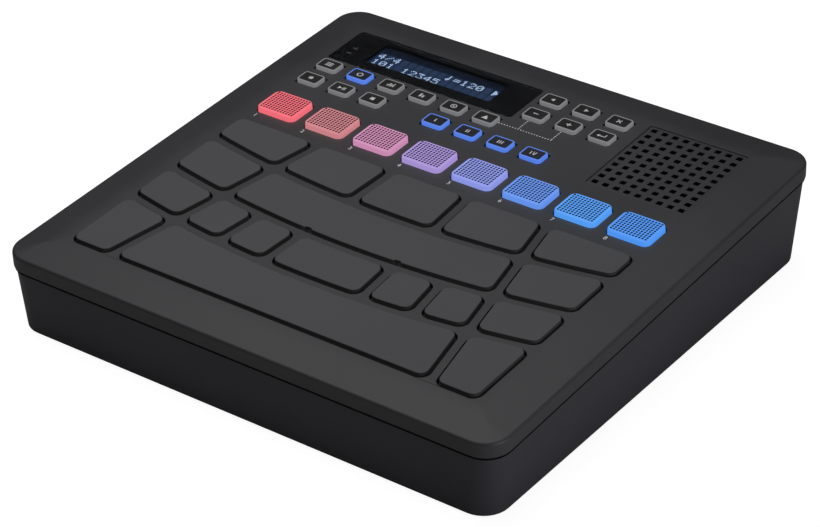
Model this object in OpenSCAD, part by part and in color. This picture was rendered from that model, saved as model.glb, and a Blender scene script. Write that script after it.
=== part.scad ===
// Finger drum pad: a wedge-shaped desktop case whose sloping lid carries a fan of soft drum pads,
// a row of lit colour pads, function keys, a character display and a speaker grille.
// Millimetres, X to the right, Y to the back, Z up. The origin is under the middle, on the table.
// Pieces of the lid are drawn in the lid's own frame, whose origin is the middle of its flat top.

/* [Lid] */
// Width of the lid
lid_w = 256.6; // [252:0.2:290]
// Depth of the lid along its slope
lid_d = 255.2; // [253:0.2:290]
// Slope of the lid, rising to the back, in degrees
lid_tilt = 2.73; // [0:0.01:4]
// Corner radius of the lid
lid_corner_r = 12; // [8:0.5:18]
// Thickness of the lid's top plate
lid_t = 2.2; // [2:0.1:3]
// Width of the sloped border round the flat top
border_w = 16; // [12:0.5:18]
// Drop of the border from the flat top to the rim
border_drop = 2.6; // [0.5:0.1:4]
// Height of the rim
rim_h = 7.8; // [6:0.1:10]
// Thickness of the rim's wall
rim_t = 2; // [1.6:0.1:2.6]
// Round on the rim's upper edge
rim_round = 1.5; // [0.5:0.1:2]
// Round on the rim's lower edge
rim_foot_round = 0.6; // [0.2:0.1:1]

/* [Lower case] */
// Height of the flat top's middle above the underside of the case
case_h = 46.2; // [40:0.1:60]
// How far the case draws in from the lid's edge to its underside
base_inset = 3; // [2:0.2:8]
// Corner radius at the underside
base_corner_r = 12; // [6:0.5:16]
// Thickness of the case walls
wall_t = 2.6; // [2:0.1:4]
// Thickness of the floor
floor_t = 2.6; // [2:0.1:4]
// How far the rim stands out past the case wall
rim_overhang = 1; // [0.6:0.1:2]
// Height of the dark line between the rim and the case wall
parting_gap = 0.5; // [0.3:0.1:1]
// Height of the tongue that fills the rim from inside
tongue_h = 3; // [2:0.1:4]
// Thickness of the tongue
tongue_t = 1.4; // [1:0.1:2]

/* [Drum pads] */
// Width of the field of pads
field_w = 212; // [208:0.5:214]
// How far the outermost drum pads stop short of the field's sides
pad_side_inset = 0.8; // [0:0.1:2]
// Bare lid in front of the drum pads
field_front_margin = 21.2; // [20:0.2:30]
// Depth of the lid behind the drum pads, where the keys and the display are
field_back_margin = 116.6; // [110:0.2:130]
// Depth of the front row at the middle, on a lid of the usual depth; the four rows share the room
front_row_d = 26.4; // [22:0.1:29]
// Depth of the second row, likewise
second_row_d = 21.7; // [18:0.1:25]
// Depth of the third row, likewise
third_row_d = 24.3; // [21:0.1:28]
// Depth of the back row, likewise
back_row_d = 27.6; // [24:0.1:31]
// Gap between two rows of pads
row_gap = 5.8; // [5:0.1:7]
// Gap between two pads of one row
fan_gap = 6; // [4.8:0.1:7]
// Distance from the middle of the lid back to the point where the fan's gaps meet
fan_apex_d = 337; // [300:1:500]
// Angle between two neighbouring lines of the fan, in degrees
fan_step = 3.55; // [3:0.05:4]
// Radius of the arcs that bound the rows
row_arc_r = 488; // [450:1:700]
// Corner radius of a drum pad
pad_corner_r = 3.8; // [1.5:0.1:5]
// Height of a drum pad above the lid
pad_h = 1.4; // [0.8:0.1:3]
// Gap between a drum pad and the lid
pad_gap = 1.15; // [0.4:0.05:1.3]
// Width of the flange that holds a drum pad under the lid, past the lid's edge
pad_lip = 0.9; // [0.6:0.1:1.2]
// Thickness of the flange
pad_lip_t = 1.5; // [1:0.1:2]
// How far a drum pad goes down when it is struck
pad_travel = 0.6; // [0.3:0.1:1]

/* [Colour pads] */
// Width of a colour pad
colour_w = 22.1; // [16:0.1:23]
// Depth of a colour pad
colour_d = 17; // [14:0.1:18]
// Height of a colour pad above the lid
colour_h = 2.4; // [1.5:0.1:5]
// Distance between two colour pads, middle to middle
colour_pitch = 27.1; // [26:0.1:27.2]
// Distance from the back of the drum pads to the middle of the colour pads
colour_clear = 18.75; // [16:0.05:19.5]
// Corner radius of a colour pad
colour_corner_r = 3.2; // [1:0.1:5]
// How far a colour pad's sides lean in
colour_lean = 0.3; // [0.1:0.1:1]

/* [Keys] */
// Width of a function key
key_w = 11.5; // [9:0.1:13]
// Depth of a function key
key_d = 8.6; // [6:0.1:9]
// Height of a function key above the lid
key_h = 1.5; // [1:0.1:4]
// Distance between two columns of keys
key_col_pitch = 17.75; // [16:0.05:18]
// Distance between two rows of keys
key_row_pitch = 14.5; // [13:0.05:15]
// Distance from the left edge of the field to the first key
key_inset = 0.7; // [0:0.1:3]
// Distance from the back edge of the display to the back row of keys
key_back_inset = 2.4; // [2:0.1:5]
// Corner radius of a function key
key_corner_r = 1.8; // [0.5:0.1:3]
// How far a key's sides lean in
key_lean = 0.2; // [0.1:0.1:0.8]
// How far a key or a colour pad goes down
key_travel = 0.8; // [0.4:0.1:1.2]
// Gap between a key or a colour pad and the lid
key_gap = 0.5; // [0.3:0.1:0.8]
// Width of the flange that holds a key or a colour pad under the lid
key_lip = 0.8; // [0.5:0.1:1.2]
// Thickness of that flange
key_lip_t = 1.2; // [0.8:0.1:2]

/* [Display] */
// Width of the display window
window_w = 103.8; // [95:0.2:104.2]
// Depth of the display window
window_d = 28.2; // [24:0.2:28.6]
// Thickness of the window
window_t = 1.2; // [0.8:0.1:1.4]
// How far the window lies below the lid's top
window_sink = 0.15; // [0.05:0.05:0.4]
// Bare lid behind the window and the keys
back_margin = 21; // [18:0.2:24]
// Distance that the window reaches past the left edge of the field
window_outset = 0.4; // [0:0.1:2]
// Corner radius of the window
window_corner_r = 1.6; // [0.5:0.1:3]
// Width of the display module's frame
lcd_w = 84; // [78:0.5:90]
// Depth of the display module's frame
lcd_d = 22.6; // [20:0.2:24]
// Width of the lid's opening over the display
lcd_hole_w = 76.6; // [68:0.2:80]
// Depth of that opening
lcd_hole_d = 21; // [18:0.2:22]
// How far the display lies to the left of the window's middle
lcd_shift = 1.2; // [0:0.1:3]
// How far the display lies behind the window's middle
lcd_rise = 2; // [0:0.1:2.5]

/* [Speaker] */
// Width of the grille's recess
grille_w = 50.8; // [50:0.2:52]
// Depth of the grille's recess
grille_d = 55.7; // [55:0.2:57]
// Depth to which the recess goes down
grille_sink = 0.5; // [0.2:0.1:0.8]
// Side of a square grille hole
grille_hole = 2.9; // [2:0.1:3.4]
// Distance between two grille holes
grille_pitch = 5.52; // [5.2:0.02:5.52]
// Number of columns of grille holes
grille_cols = 9; // [5:1:9]
// Number of rows of grille holes
grille_rows = 10; // [5:1:10]
// Distance from the field's right edge to the recess
grille_inset = 0.1; // [0:0.1:2]
// How far the recess reaches past the back of the window
grille_outset = 0.4; // [0:0.1:1]
// Diameter of the loudspeaker's frame
speaker_dia = 50; // [40:1:51]
// Diameter of the loudspeaker's magnet
magnet_dia = 30; // [20:1:34]
// Depth of the loudspeaker
speaker_depth = 17; // [15:0.5:19]
// Width of the loudspeaker's mounting ring
speaker_ring_w = 4; // [3:0.1:5]
// Thickness of the mounting ring
speaker_ring_t = 2.5; // [2:0.1:3]
// Height of the magnet
magnet_h = 8; // [6:0.1:9]
// Thickness of the basket's wall
basket_t = 1; // [0.8:0.1:1.5]
// Thickness of the paper cone
cone_t = 0.8; // [0.5:0.1:1]
// Depth of the cone
cone_depth = 4; // [3:0.1:5]
// Width of the roll round the cone
roll_w = 3; // [2:0.1:4]

/* [Back wall] */
// Diameter of the volume knob
knob_dia = 14; // [10:0.5:16]
// Length of the volume knob
knob_len = 5; // [4:0.2:6]
// Diameter of the knob's shaft
shaft_dia = 6; // [4:0.5:8]
// Room round the knob in its pocket
pocket_room = 2.5; // [2:0.1:3]
// Depth of the pocket
pocket_depth = 3.4; // [2:0.1:4]
// Thickness of the pocket's wall
pocket_t = 2; // [1.5:0.1:2.5]
// Distance of the knob from the middle
knob_x = -62; // [-70:1:-50]
// Diameter of the power button
power_dia = 9; // [6:0.5:12]
// Distance of the power button from the middle
power_x = -84; // [-92:1:-80]
// How far the power button goes in
power_travel = 0.8; // [0.4:0.1:1.2]
// How far the power button stands out
power_proud = 1.6; // [1.5:0.1:2.2]
// Width of the button's flange behind the wall
power_lip = 1.5; // [1:0.1:2]
// Thickness of that flange
power_lip_t = 1.2; // [0.8:0.1:2]
// Distance of the first jack from the middle
jack_x = -30; // [-34:1:-20]
// Distance between the two jacks
jack_pitch = 16; // [14:1:20]
// Diameter of a jack's hole
jack_bore = 3.6; // [3.5:0.1:4]
// Outer diameter of a jack's nozzle
jack_dia = 7; // [6:0.1:8]
// Side of a jack's square body
jack_body = 12; // [10:0.1:13]
// Length of a socket's body
socket_len = 13; // [10:0.5:16]
// How far the sockets end below the wall's outer face
socket_recess = 0.4; // [0.3:0.1:0.8]
// Distance of the flat socket from the middle
usb_x = 16; // [10:1:30]
// Width of the flat socket
usb_w = 9; // [8:0.1:13]
// Height of the flat socket
usb_h = 3.4; // [3:0.1:6]
// Thickness of the flat socket's shell
usb_shell_t = 0.4; // [0.3:0.1:0.6]

/* [Inside] */
// Thickness of the circuit boards
board_t = 1.6; // [1:0.1:2]
// Height of the main board above the floor
main_board_lift = 7; // [5:0.5:9]
// Depth of the main board
main_board_d = 44; // [36:1:60]
// Side of the volume pot
pot_side = 12; // [10:0.5:13]
// Length of the shaft inside the pot
pot_grip = 5; // [4:0.5:8]
// Side of the power switch
power_switch = 8; // [6:0.5:10]
// Side of a key switch
switch_side = 6; // [4:0.5:7]
// Height of a key switch
switch_h = 2.2; // [2:0.1:3]
// Diameter of the posts that carry the boards
post_dia = 6; // [5:0.5:7]
// Diameter of the pins under the lid that hold the boards
pin_dia = 3.2; // [2.6:0.1:3.4]
// Width of the battery pack
battery_w = 70; // [40:1:90]
// Depth of the battery pack
battery_d = 40; // [20:1:50]
// Height of the battery pack
battery_h = 19; // [10:0.5:22]
// Distance of the battery pack in front of the middle
battery_front = 20; // [15:1:26]
// Diameter of a rubber foot
foot_dia = 15; // [10:0.5:20]
// Height of a foot below the case
foot_h = 1.8; // [1:0.1:4]
// Depth to which a foot is sunk into the floor
foot_sink = 0.8; // [0.3:0.1:1.4]
// Distance of the feet from the edges of the underside
foot_inset = 22; // [18:1:35]
// Diameter of a case screw
screw_dia = 3; // [2.5:0.1:4]
// Diameter of a screw's head
screw_head_dia = 5.6; // [5:0.1:7]
// Height of a screw's head
screw_head_h = 2; // [1.5:0.1:3]
// Length of a screw below its head
screw_len = 16; // [13:0.5:20]
// How far a screw reaches into the lid's boss
screw_bite = 6; // [5:0.1:7]
// Outer diameter of a screw boss
boss_dia = 9; // [8.4:0.1:9.2]
// How far a screw boss stands in from the lid's edge
boss_inset = 10.8; // [10.5:0.1:11]
// Depth below the flat top at which the lid's bosses meet the posts
boss_joint = 12; // [11.5:0.5:14]

/* [Clearances] */
// Gap between moving pieces and what guides them
slide_clear = 0.3; // [0.3:0.05:0.4]
// Gap of a screw or a shaft in its hole
hole_clear = 0.1; // [0.05:0.01:0.1]
// Gap between pieces that are set into one another
seat_clear = 0.2; // [0.1:0.05:0.3]

/* [Hidden] */
thin = 0.01;
big = 600;
corner_steps = 4;
case_corner_steps = 8;
arc_step = 16;
$fn = 48;

// Heights in the lid's frame
rim_top_w = -border_drop;
rim_foot_w = -border_drop - rim_h;
parting_w = rim_foot_w - parting_gap;
pad_flange_w = -lid_t - slide_clear;
pad_foot_w = pad_flange_w - pad_lip_t;
sensor_w = pad_foot_w - pad_travel - slide_clear;
key_foot_w = pad_flange_w - key_lip_t;
switch_w = key_foot_w - key_travel - slide_clear;
panel_w = switch_w - switch_h;
window_foot_w = -window_sink - window_t;
lcd_corner_r = 1;
grille_corner_r = 1;
bite_room = 1;
lcd_top_w = -lid_t - hole_clear;

// Where the lid stands: its extreme edges lie as far in front of the origin as behind it
rim_extreme = border_drop + (rim_round + rim_h - rim_foot_round) / 2;
lid_y = -rim_extreme * sin(lid_tilt);
lid_z = foot_h + case_h;
floor_z = foot_h + floor_t;

// The lower case and its opening, whose form runs a little past the parting plane
base_w = lid_w - 2 * base_inset;
base_d = lid_d - 2 * base_inset;
mouth_over = 1;

// The field of pads and the pieces behind it
usual_depths = [front_row_d, second_row_d, third_row_d, back_row_d];
rows_room = lid_d - field_front_margin - field_back_margin - (len(usual_depths) - 1) * row_gap;
row_depths = usual_depths * rows_room / (usual_depths * [1, 1, 1, 1]);
field_front = -lid_d / 2 + field_front_margin;
field_back = lid_d / 2 - back_margin;
row_fronts = [for (i = [0:3]) field_front + i * row_gap + depth_before(i)];
row_backs = [for (i = [0:3]) row_fronts[i] + row_depths[i]];
colour_y = row_backs[3] + colour_clear;
key_x0 = -field_w / 2 + key_inset + key_w / 2;
key_y0 = field_back - key_back_inset - key_d / 2;
window_x = -field_w / 2 - window_outset + window_w / 2;
window_y = field_back - window_d / 2;
lcd_x = window_x - lcd_shift;
lcd_y = window_y + lcd_rise;
grille_x = field_w / 2 - grille_inset - grille_w / 2;
grille_y = field_back - grille_d / 2 + grille_outset;

// Which lines of the fan bound each pad, row by row from the front; the outer edges are lines -4 and 4
row_lines = [
    [-4, -3, 3, 4],
    [-4, -3, -2, -1, 1, 2, 3, 4],
    [-4, -3, 3, 4],
    [-4, -3, -1, 1, 3, 4]
];
outer_line = 4;
pads = [for (r = [0:3]) for (i = [0:len(row_lines[r]) - 2]) [r, row_lines[r][i], row_lines[r][i + 1]]];

// Column and row of each key, row 0 at the back
keys = concat(
    [for (r = [0:1]) for (c = [6:8]) [c, r]],
    [for (c = [0:5]) [c, 2]],
    [for (c = [0, 1, 2, 4, 5, 6, 7]) [c, 3]]
);
key_places = [for (k = keys) [key_x0 + k[0] * key_col_pitch, key_y0 - k[1] * key_row_pitch]];
colour_count = 8;
colour_places = [for (i = [0:colour_count - 1]) [(i - (colour_count - 1) / 2) * colour_pitch, colour_y]];

// Screws and feet
boss_x = lid_w / 2 - boss_inset;
boss_y = lid_d / 2 - boss_inset;
screw_places = [for (x = [-boss_x, boss_x]) for (y = [-boss_y, 0, boss_y]) [x, y]];
foot_places = [
    for (x = [-1, 1])
    for (y = [-1, 1])
    [x * (base_w / 2 - foot_inset), y * (base_d / 2 - foot_inset)]
];

// Back wall, from the main board up
main_board_z = floor_z + main_board_lift;
board_top_z = main_board_z + board_t;
rear_z = board_top_z + jack_body / 2;
rear_wall_y = rear_wall(rear_z);
pocket_dia = knob_dia + 2 * pocket_room;
pocket_boss_dia = pocket_dia + 2 * pocket_t;
pocket_floor_y = rear_wall_y - pocket_depth;
pocket_back_y = pocket_floor_y - wall_t;
main_board_back = pocket_back_y - seat_clear;
main_board_edge = 8;
jack_xs = [jack_x, jack_x + jack_pitch];
main_board_left = power_x - power_switch / 2 - main_board_edge;
main_board_right = usb_x + usb_w / 2 + main_board_edge;
socket_end_y = rear_wall_y - socket_recess;
power_seat_y = rear_inner(rear_z - power_dia / 2 - power_lip) - slide_clear;
power_back_y = power_seat_y - power_lip_t;

// Boards under the lid
sensor_edge = 4.6;
sensor_pin_x = field_w / 2 - pad_side_inset + pad_gap + pad_lip + slide_clear + pin_dia / 2;
panel_edge = 4;
panel_pin_y = (colour_y + colour_d / 2 + key_y0 - 3 * key_row_pitch - key_d / 2) / 2;
panel_pins = concat(
    [for (i = [-2:2]) [i * field_w / 4, panel_pin_y]],
    [[key_x0 + 6.5 * key_col_pitch, key_y0 - key_row_pitch / 2]]
);

pad_names = [for (i = [0:len(pads) - 1]) str("drum_pad_", i + 1)];
colour_names = [for (i = [0:colour_count - 1]) str("colour_pad_", i + 1)];
key_names = [for (i = [0:len(keys) - 1]) str("key_", i + 1)];

// Sum of the depths of the rows in front of row i
function depth_before(i) = i == 0 ? 0 : row_depths[i - 1] + depth_before(i - 1);

// World Y and Z of a point of the lid's frame, at depth v and height w
function lid_point(v, w) = [
    lid_y + v * cos(lid_tilt) - w * sin(lid_tilt),
    lid_z + v * sin(lid_tilt) + w * cos(lid_tilt)
];

// Y at height z of the back face of the case's form, drawn in by inset, which starts at z0
function rear_face(z, inset, z0, over) =
    let (
        foot = base_d / 2 - inset,
        top = lid_point(lid_d / 2 - rim_overhang - inset, parting_w + over)
    )
    foot + (top[0] - foot) * (z - z0) / (top[1] - z0);

// Y of the back wall's outer and inner face at height z
function rear_wall(z) = rear_face(z, 0, foot_h, 0);
function rear_inner(z) = rear_face(z, wall_t, floor_z, mouth_over);

// World Z of the flat top at world Y
function top_z(y) = lid_z + (y - lid_y) * tan(lid_tilt);

// World Z where the lid's boss meets the post at y, and where the screw's head seats
function joint_z(y) = top_z(y) - boss_joint;
function seat_z(y) = joint_z(y) - screw_len + screw_bite;

// Outline of a rectangle with round corners, about the origin
function rounded_box(w, d, r, steps) = [
    for (q = [0:3])
    for (s = [0:steps])
    let (a = 90 * q + 90 * s / steps, sx = (q == 0 || q == 3) ? 1 : -1, sy = q < 2 ? 1 : -1)
    [sx * (w / 2 - r) + r * cos(a), sy * (d / 2 - r) + r * sin(a)]
];

// The lid's outline, drawn in by inset
function lid_outline(inset) =
    rounded_box(lid_w - 2 * inset, lid_d - 2 * inset, max(lid_corner_r - inset, 1), case_corner_steps);

// X of line n of the fan at depth y, moved by off to the right
function line_x(n, y, off) =
    abs(n) == outer_line
        ? sign(n) * (field_w / 2 - pad_side_inset) + off
        : (fan_apex_d - y) * tan(n * fan_step) + off / cos(n * fan_step);

// Y of a row's edge at x; bowed edges follow the row's arc
function edge_y(y0, bowed, x) = y0 + (bowed ? row_arc_r - sqrt(row_arc_r ^ 2 - x ^ 2) : 0);

// Corner where line n meets an edge, found in a few passes
function fan_corner(n, off, y0, bowed, y, passes = 8) =
    passes == 0
        ? [line_x(n, y, off), y]
        : fan_corner(n, off, y0, bowed, edge_y(y0, bowed, line_x(n, y, off)), passes - 1);

// Points of an arc of radius r in the corner q, between the points before and after it
function round_corner(p, q, s, r) =
    let (
        a = (p - q) / norm(p - q),
        b = (s - q) / norm(s - q),
        half = acos(a * b) / 2,
        middle = q + (a + b) / norm(a + b) * r / sin(half),
        from = q + a * r / tan(half) - middle,
        turn = 180 - 2 * half
    )
    [for (i = [0:corner_steps]) middle + rotated(from, turn * i / corner_steps)];

function rotated(v, a) = [v[0] * cos(a) - v[1] * sin(a), v[0] * sin(a) + v[1] * cos(a)];

// Points along a row's edge between two corners, clear of their rounds
function edge_points(from, to, y0, bowed) =
    let (
        inset = 2 * pad_corner_r * sign(to[0] - from[0]),
        x0 = from[0] + inset,
        x1 = to[0] - inset,
        n = max(1, ceil(abs(x1 - x0) / arc_step))
    )
    bowed ? [for (i = [0:n]) let (x = x0 + (x1 - x0) * i / n) [x, edge_y(y0, true, x)]] : [];

// Outline of a drum pad, grown outwards by grow
function pad_outline(pad, grow) =
    let (
        row = pad[0],
        front = row_fronts[row] - grow,
        back = row_backs[row] + grow,
        front_bowed = row > 0,
        back_bowed = row < 3,
        left_off = (pad[1] == -outer_line ? 0 : fan_gap / 2) - grow,
        right_off = grow - (pad[2] == outer_line ? 0 : fan_gap / 2),
        r = pad_corner_r + grow,
        fl = fan_corner(pad[1], left_off, front, front_bowed, front),
        fr = fan_corner(pad[2], right_off, front, front_bowed, front),
        br = fan_corner(pad[2], right_off, back, back_bowed, back),
        bl = fan_corner(pad[1], left_off, back, back_bowed, back),
        front_run = edge_points(fl, fr, front, front_bowed),
        back_run = edge_points(br, bl, back, back_bowed),
        front_first = len(front_run) > 0 ? front_run[0] : fr,
        front_last = len(front_run) > 0 ? front_run[len(front_run) - 1] : fl,
        back_first = len(back_run) > 0 ? back_run[0] : bl,
        back_last = len(back_run) > 0 ? back_run[len(back_run) - 1] : br
    )
    concat(
        round_corner(bl, fl, front_first, r), front_run,
        round_corner(front_last, fr, br, r),
        round_corner(fr, br, back_first, r), back_run,
        round_corner(back_last, bl, fl, r)
    );

// Places the lid's frame in the world
module on_lid() {
    translate([0, lid_y, lid_z]) rotate([lid_tilt, 0, 0]) children();
}

// A plate with round corners from height w0 to height w1
module slab(w, d, r, w0, w1, steps = corner_steps) {
    translate([0, 0, w0]) linear_extrude(w1 - w0) polygon(rounded_box(w, d, r, steps));
}

// A plate of the lid's outline, drawn in by inset
module lid_slab(inset, w0, w1) {
    translate([0, 0, w0]) linear_extrude(w1 - w0) polygon(lid_outline(inset));
}

// A closed skin through rings of the lid's outline, each [inset, height], from the lowest to the highest
module lid_skin(rings) {
    count = 4 * (case_corner_steps + 1);
    last = len(rings) - 1;
    polyhedron(
        points = [for (r = rings) for (p = lid_outline(r[0])) [p[0], p[1], r[1]]],
        faces = concat(
            [[for (i = [0:count - 1]) i]],
            [for (k = [0:last - 1]) for (i = [0:count - 1])
                let (j = (i + 1) % count)
                [k * count + i, (k + 1) * count + i, (k + 1) * count + j, k * count + j]],
            [[for (i = [count - 1:-1:0]) last * count + i]]
        )
    );
}

// The lid's outer form: rounded rim, sloped border, flat top
module lid_form() {
    steps = 3;
    lid_skin(concat(
        [[rim_foot_round, rim_foot_w], [0, rim_foot_w + rim_foot_round]],
        [for (i = [steps:-1:0])
            let (a = 90 * i / steps)
            [rim_round * (1 - sin(a)), rim_top_w - rim_round * (1 - cos(a))]],
        [[border_w, 0]]
    ));
}

// The hollow under the lid, open at the bottom
module lid_hollow() {
    lid_skin([
        [rim_t, rim_foot_w - lid_t],
        [rim_t, rim_top_w - lid_t - rim_round],
        [rim_t + rim_round, rim_top_w - lid_t],
        [border_w, -lid_t]
    ]);
}

// Everything above a plane of the lid's frame, for trimming
module above(w) {
    on_lid() translate([-big / 2, -big / 2, w]) cube(big);
}

// A cut of that outline right through the lid's plate
module through(w, d, r) {
    slab(w, d, r, -2 * lid_t, lid_t);
}

module lid_openings() {
    for (p = pads) {
        translate([0, 0, -2 * lid_t]) linear_extrude(3 * lid_t) polygon(pad_outline(p, pad_gap));
    }
    for (p = key_places) {
        translate(p) through(key_w + 2 * key_gap, key_d + 2 * key_gap, key_gap);
    }
    for (p = colour_places) {
        translate(p) through(colour_w + 2 * key_gap, colour_d + 2 * key_gap, colour_corner_r);
    }
    translate([window_x, window_y]) {
        room = 2 * seat_clear;
        slab(window_w + room, window_d + room, window_corner_r + seat_clear, window_foot_w, lid_t);
    }
    translate([lcd_x, lcd_y]) through(lcd_hole_w, lcd_hole_d, lcd_corner_r);
    translate([grille_x, grille_y]) {
        slab(grille_w, grille_d, grille_corner_r, -grille_sink, lid_t);
        for (i = [0:grille_cols - 1], j = [0:grille_rows - 1]) {
            x = (i - (grille_cols - 1) / 2) * grille_pitch;
            y = (j - (grille_rows - 1) / 2) * grille_pitch;
            translate([x, y, 0]) cube([grille_hole, grille_hole, 4 * lid_t], center = true);
        }
    }
}

// A pin from the lid's plate down to a board at height w
module lid_pin(p, w) {
    translate([p[0], p[1], w]) cylinder(d = pin_dia, h = -lid_t / 2 - w);
}

module upper_case() color("#3c3c3e") {
    boss_h = boss_joint - (border_drop + lid_t) / 2;
    difference() {
        union() {
            on_lid() {
                difference() {
                    lid_form();
                    lid_hollow();
                }
                for (s = [-1, 1], r = [0:3]) {
                    lid_pin([s * sensor_pin_x, row_fronts[r] + row_depths[r] / 3], sensor_w);
                }
                for (p = panel_pins) lid_pin(p, panel_w);
            }
            for (p = screw_places) {
                translate([p[0], p[1], joint_z(p[1])]) cylinder(d = boss_dia, h = boss_h);
            }
        }
        on_lid() lid_openings();
        for (p = screw_places) {
            translate([p[0], p[1], joint_z(p[1]) - thin])
                cylinder(d = screw_dia + 2 * hole_clear, h = screw_bite + bite_room);
        }
    }
}

// The lower case's form, drawn in by inset, from its underside up to the parting plane
module case_form(inset, z0, over) {
    hull() {
        r = max(base_corner_r - inset, 1);
        slab(base_w - 2 * inset, base_d - 2 * inset, r, z0, z0 + thin, case_corner_steps);
        on_lid() lid_slab(rim_overhang + inset, parting_w + over - thin, parting_w + over);
    }
}

module tongue() {
    outer = rim_t + seat_clear;
    root = parting_w - tongue_h / 2;
    on_lid() difference() {
        lid_slab(outer, root, parting_w + tongue_h);
        lid_slab(outer + tongue_t, root - 1, parting_w + tongue_h + 1);
    }
}

// Round post on the floor at a place, up to height z
module post(p, d, z) {
    translate([p[0], p[1], floor_z - thin]) cylinder(d = d, h = z - floor_z + thin);
}

// A cylinder along Y from y0 to y1, on the axis of the back wall's pieces at x
module rear_round(x, d, y0, y1) {
    translate([x, y0, rear_z]) rotate([-90, 0, 0]) cylinder(d = d, h = y1 - y0);
}

// A round hole through the back wall at x
module rear_hole(x, d) {
    rear_round(x, d, pocket_back_y - wall_t, rear_wall_y + 2 * wall_t);
}

module lower_case() color("#262628") {
    pocket_end_y = rear_wall(rear_z - pocket_boss_dia / 2) - seat_clear;
    post_inset = post_dia / 2 + 2;
    difference() {
        union() {
            difference() {
                case_form(0, foot_h, 0);
                case_form(wall_t, floor_z, mouth_over);
            }
            tongue();
            for (p = screw_places) post(p, boss_dia, joint_z(p[1]));
            difference() {
                for (x = [-1, 1] * field_w / 4, r = [0, 2]) {
                    y = row_fronts[r] + row_depths[r] / 2;
                    post([x, y], post_dia, top_z(y));
                }
                above(sensor_w - board_t);
            }
            for (x = [main_board_left + post_inset, main_board_right - post_inset]) {
                post([x, main_board_back - post_inset], post_dia, main_board_z);
                post([x, main_board_back - main_board_d + post_inset], post_dia, main_board_z);
            }
            rear_round(knob_x, pocket_boss_dia, pocket_back_y, pocket_end_y);
        }
        for (p = screw_places) translate([p[0], p[1], 0]) {
            cylinder(d = screw_dia + 2 * hole_clear, h = top_z(p[1]));
            cylinder(d = screw_head_dia + 2 * seat_clear, h = seat_z(p[1]));
        }
        for (p = foot_places) translate([p[0], p[1], 0]) {
            cylinder(d = foot_dia + 2 * seat_clear, h = foot_h + foot_sink);
        }
        rear_round(knob_x, pocket_dia, pocket_floor_y, rear_wall_y + pocket_dia);
        rear_hole(knob_x, shaft_dia + 2 * hole_clear);
        rear_hole(power_x, power_dia + 2 * slide_clear);
        for (x = jack_xs) rear_hole(x, jack_dia + 2 * seat_clear);
        translate([usb_x, rear_wall_y, rear_z])
            cube([usb_w + 2 * seat_clear, 4 * wall_t, usb_h + 2 * seat_clear], center = true);
    }
}

module display_window() color("#141416") {
    on_lid() translate([window_x, window_y]) {
        slab(window_w, window_d, window_corner_r, window_foot_w, -window_sink);
    }
}

module lcd_module() color("#2b3f7a") {
    on_lid() translate([lcd_x, lcd_y]) {
        slab(lcd_w, lcd_d, lcd_corner_r, panel_w, lcd_top_w);
    }
}

// Profile of the loudspeaker's frame: ring, leaning basket and magnet
module driver_profile() {
    ring = speaker_dia / 2;
    magnet = magnet_dia / 2;
    back = -speaker_depth;
    polygon([
        [ring - speaker_ring_w, 0], [ring, 0], [ring, -speaker_ring_t],
        [magnet + basket_t, back + magnet_h], [magnet, back + magnet_h], [magnet, back],
        [0, back], [0, back + magnet_h - basket_t], [magnet - basket_t, back + magnet_h - basket_t],
        [magnet - basket_t, back + magnet_h + basket_t], [ring - speaker_ring_w, -speaker_ring_t - basket_t]
    ]);
}

module speaker_driver() color("#55565a") {
    on_lid() translate([grille_x, grille_y, -lid_t]) rotate_extrude() driver_profile();
}

// Cone with its roll and dust cap; its outer edge lies inside the frame's ring
module speaker_cone() color("#1c1c1e") {
    edge = speaker_dia / 2 - speaker_ring_w - seat_clear;
    neck = magnet_dia / 2 - roll_w;
    cap_rise = cone_depth * 0.4;
    top = [
        [0, cap_rise - cone_depth], [neck, -cone_depth], [edge - roll_w, 0],
        [edge - roll_w / 2, cone_t], [edge, 0]
    ];
    under = [for (i = [len(top) - 1:-1:0]) top[i] - [0, cone_t]];
    on_lid() translate([grille_x, grille_y, -lid_t - 2 * cone_t - slide_clear])
        rotate_extrude() polygon(concat(top, under));
}

module pad_sensor_board() color("#1f4d36") {
    w = field_w + 2 * (pad_gap + pad_lip + sensor_edge - pad_side_inset);
    y0 = field_front - sensor_edge;
    y1 = row_backs[3] + pad_gap + pad_lip + slide_clear;
    on_lid() translate([0, (y0 + y1) / 2]) slab(w, y1 - y0, board_t, sensor_w - board_t, sensor_w);
}

// Board under the keys and colour pads, cut away beside the loudspeaker, with a switch under each
module panel_board() color("#1f4d36") {
    x0 = -field_w / 2 - panel_edge;
    x1 = field_w / 2 + panel_edge;
    y0 = colour_y - colour_d / 2 - key_gap - key_lip;
    y1 = field_back + panel_edge / 2;
    notch_x = grille_x - speaker_dia / 2 - panel_edge / 2;
    notch_y = grille_y - speaker_dia / 2 - panel_edge / 2;
    on_lid() {
        translate([0, 0, panel_w - board_t]) linear_extrude(board_t)
            polygon([[x0, y0], [x1, y0], [x1, notch_y], [notch_x, notch_y], [notch_x, y1], [x0, y1]]);
        for (p = concat(key_places, colour_places)) {
            translate([p[0], p[1], panel_w + switch_h / 2 - thin])
                cube([switch_side, switch_side, switch_h], center = true);
        }
    }
}

// Board with the volume pot and the power switch on it
module main_board() color("#1f4d36") {
    translate([main_board_left, main_board_back - main_board_d, main_board_z])
        cube([main_board_right - main_board_left, main_board_d, board_t]);
    difference() {
        translate([knob_x - pot_side / 2, pocket_back_y - pot_side, board_top_z])
            cube([pot_side, pot_side, rear_z + pot_side / 2 - board_top_z]);
        rear_round(knob_x, shaft_dia + 2 * hole_clear, pocket_back_y - pot_grip - slide_clear, rear_wall_y);
    }
    translate([
        power_x - power_switch / 2,
        power_back_y - power_travel - slide_clear - power_switch,
        board_top_z
    ]) cube([power_switch, power_switch, rear_z + power_switch / 2 - board_top_z]);
}

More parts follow.
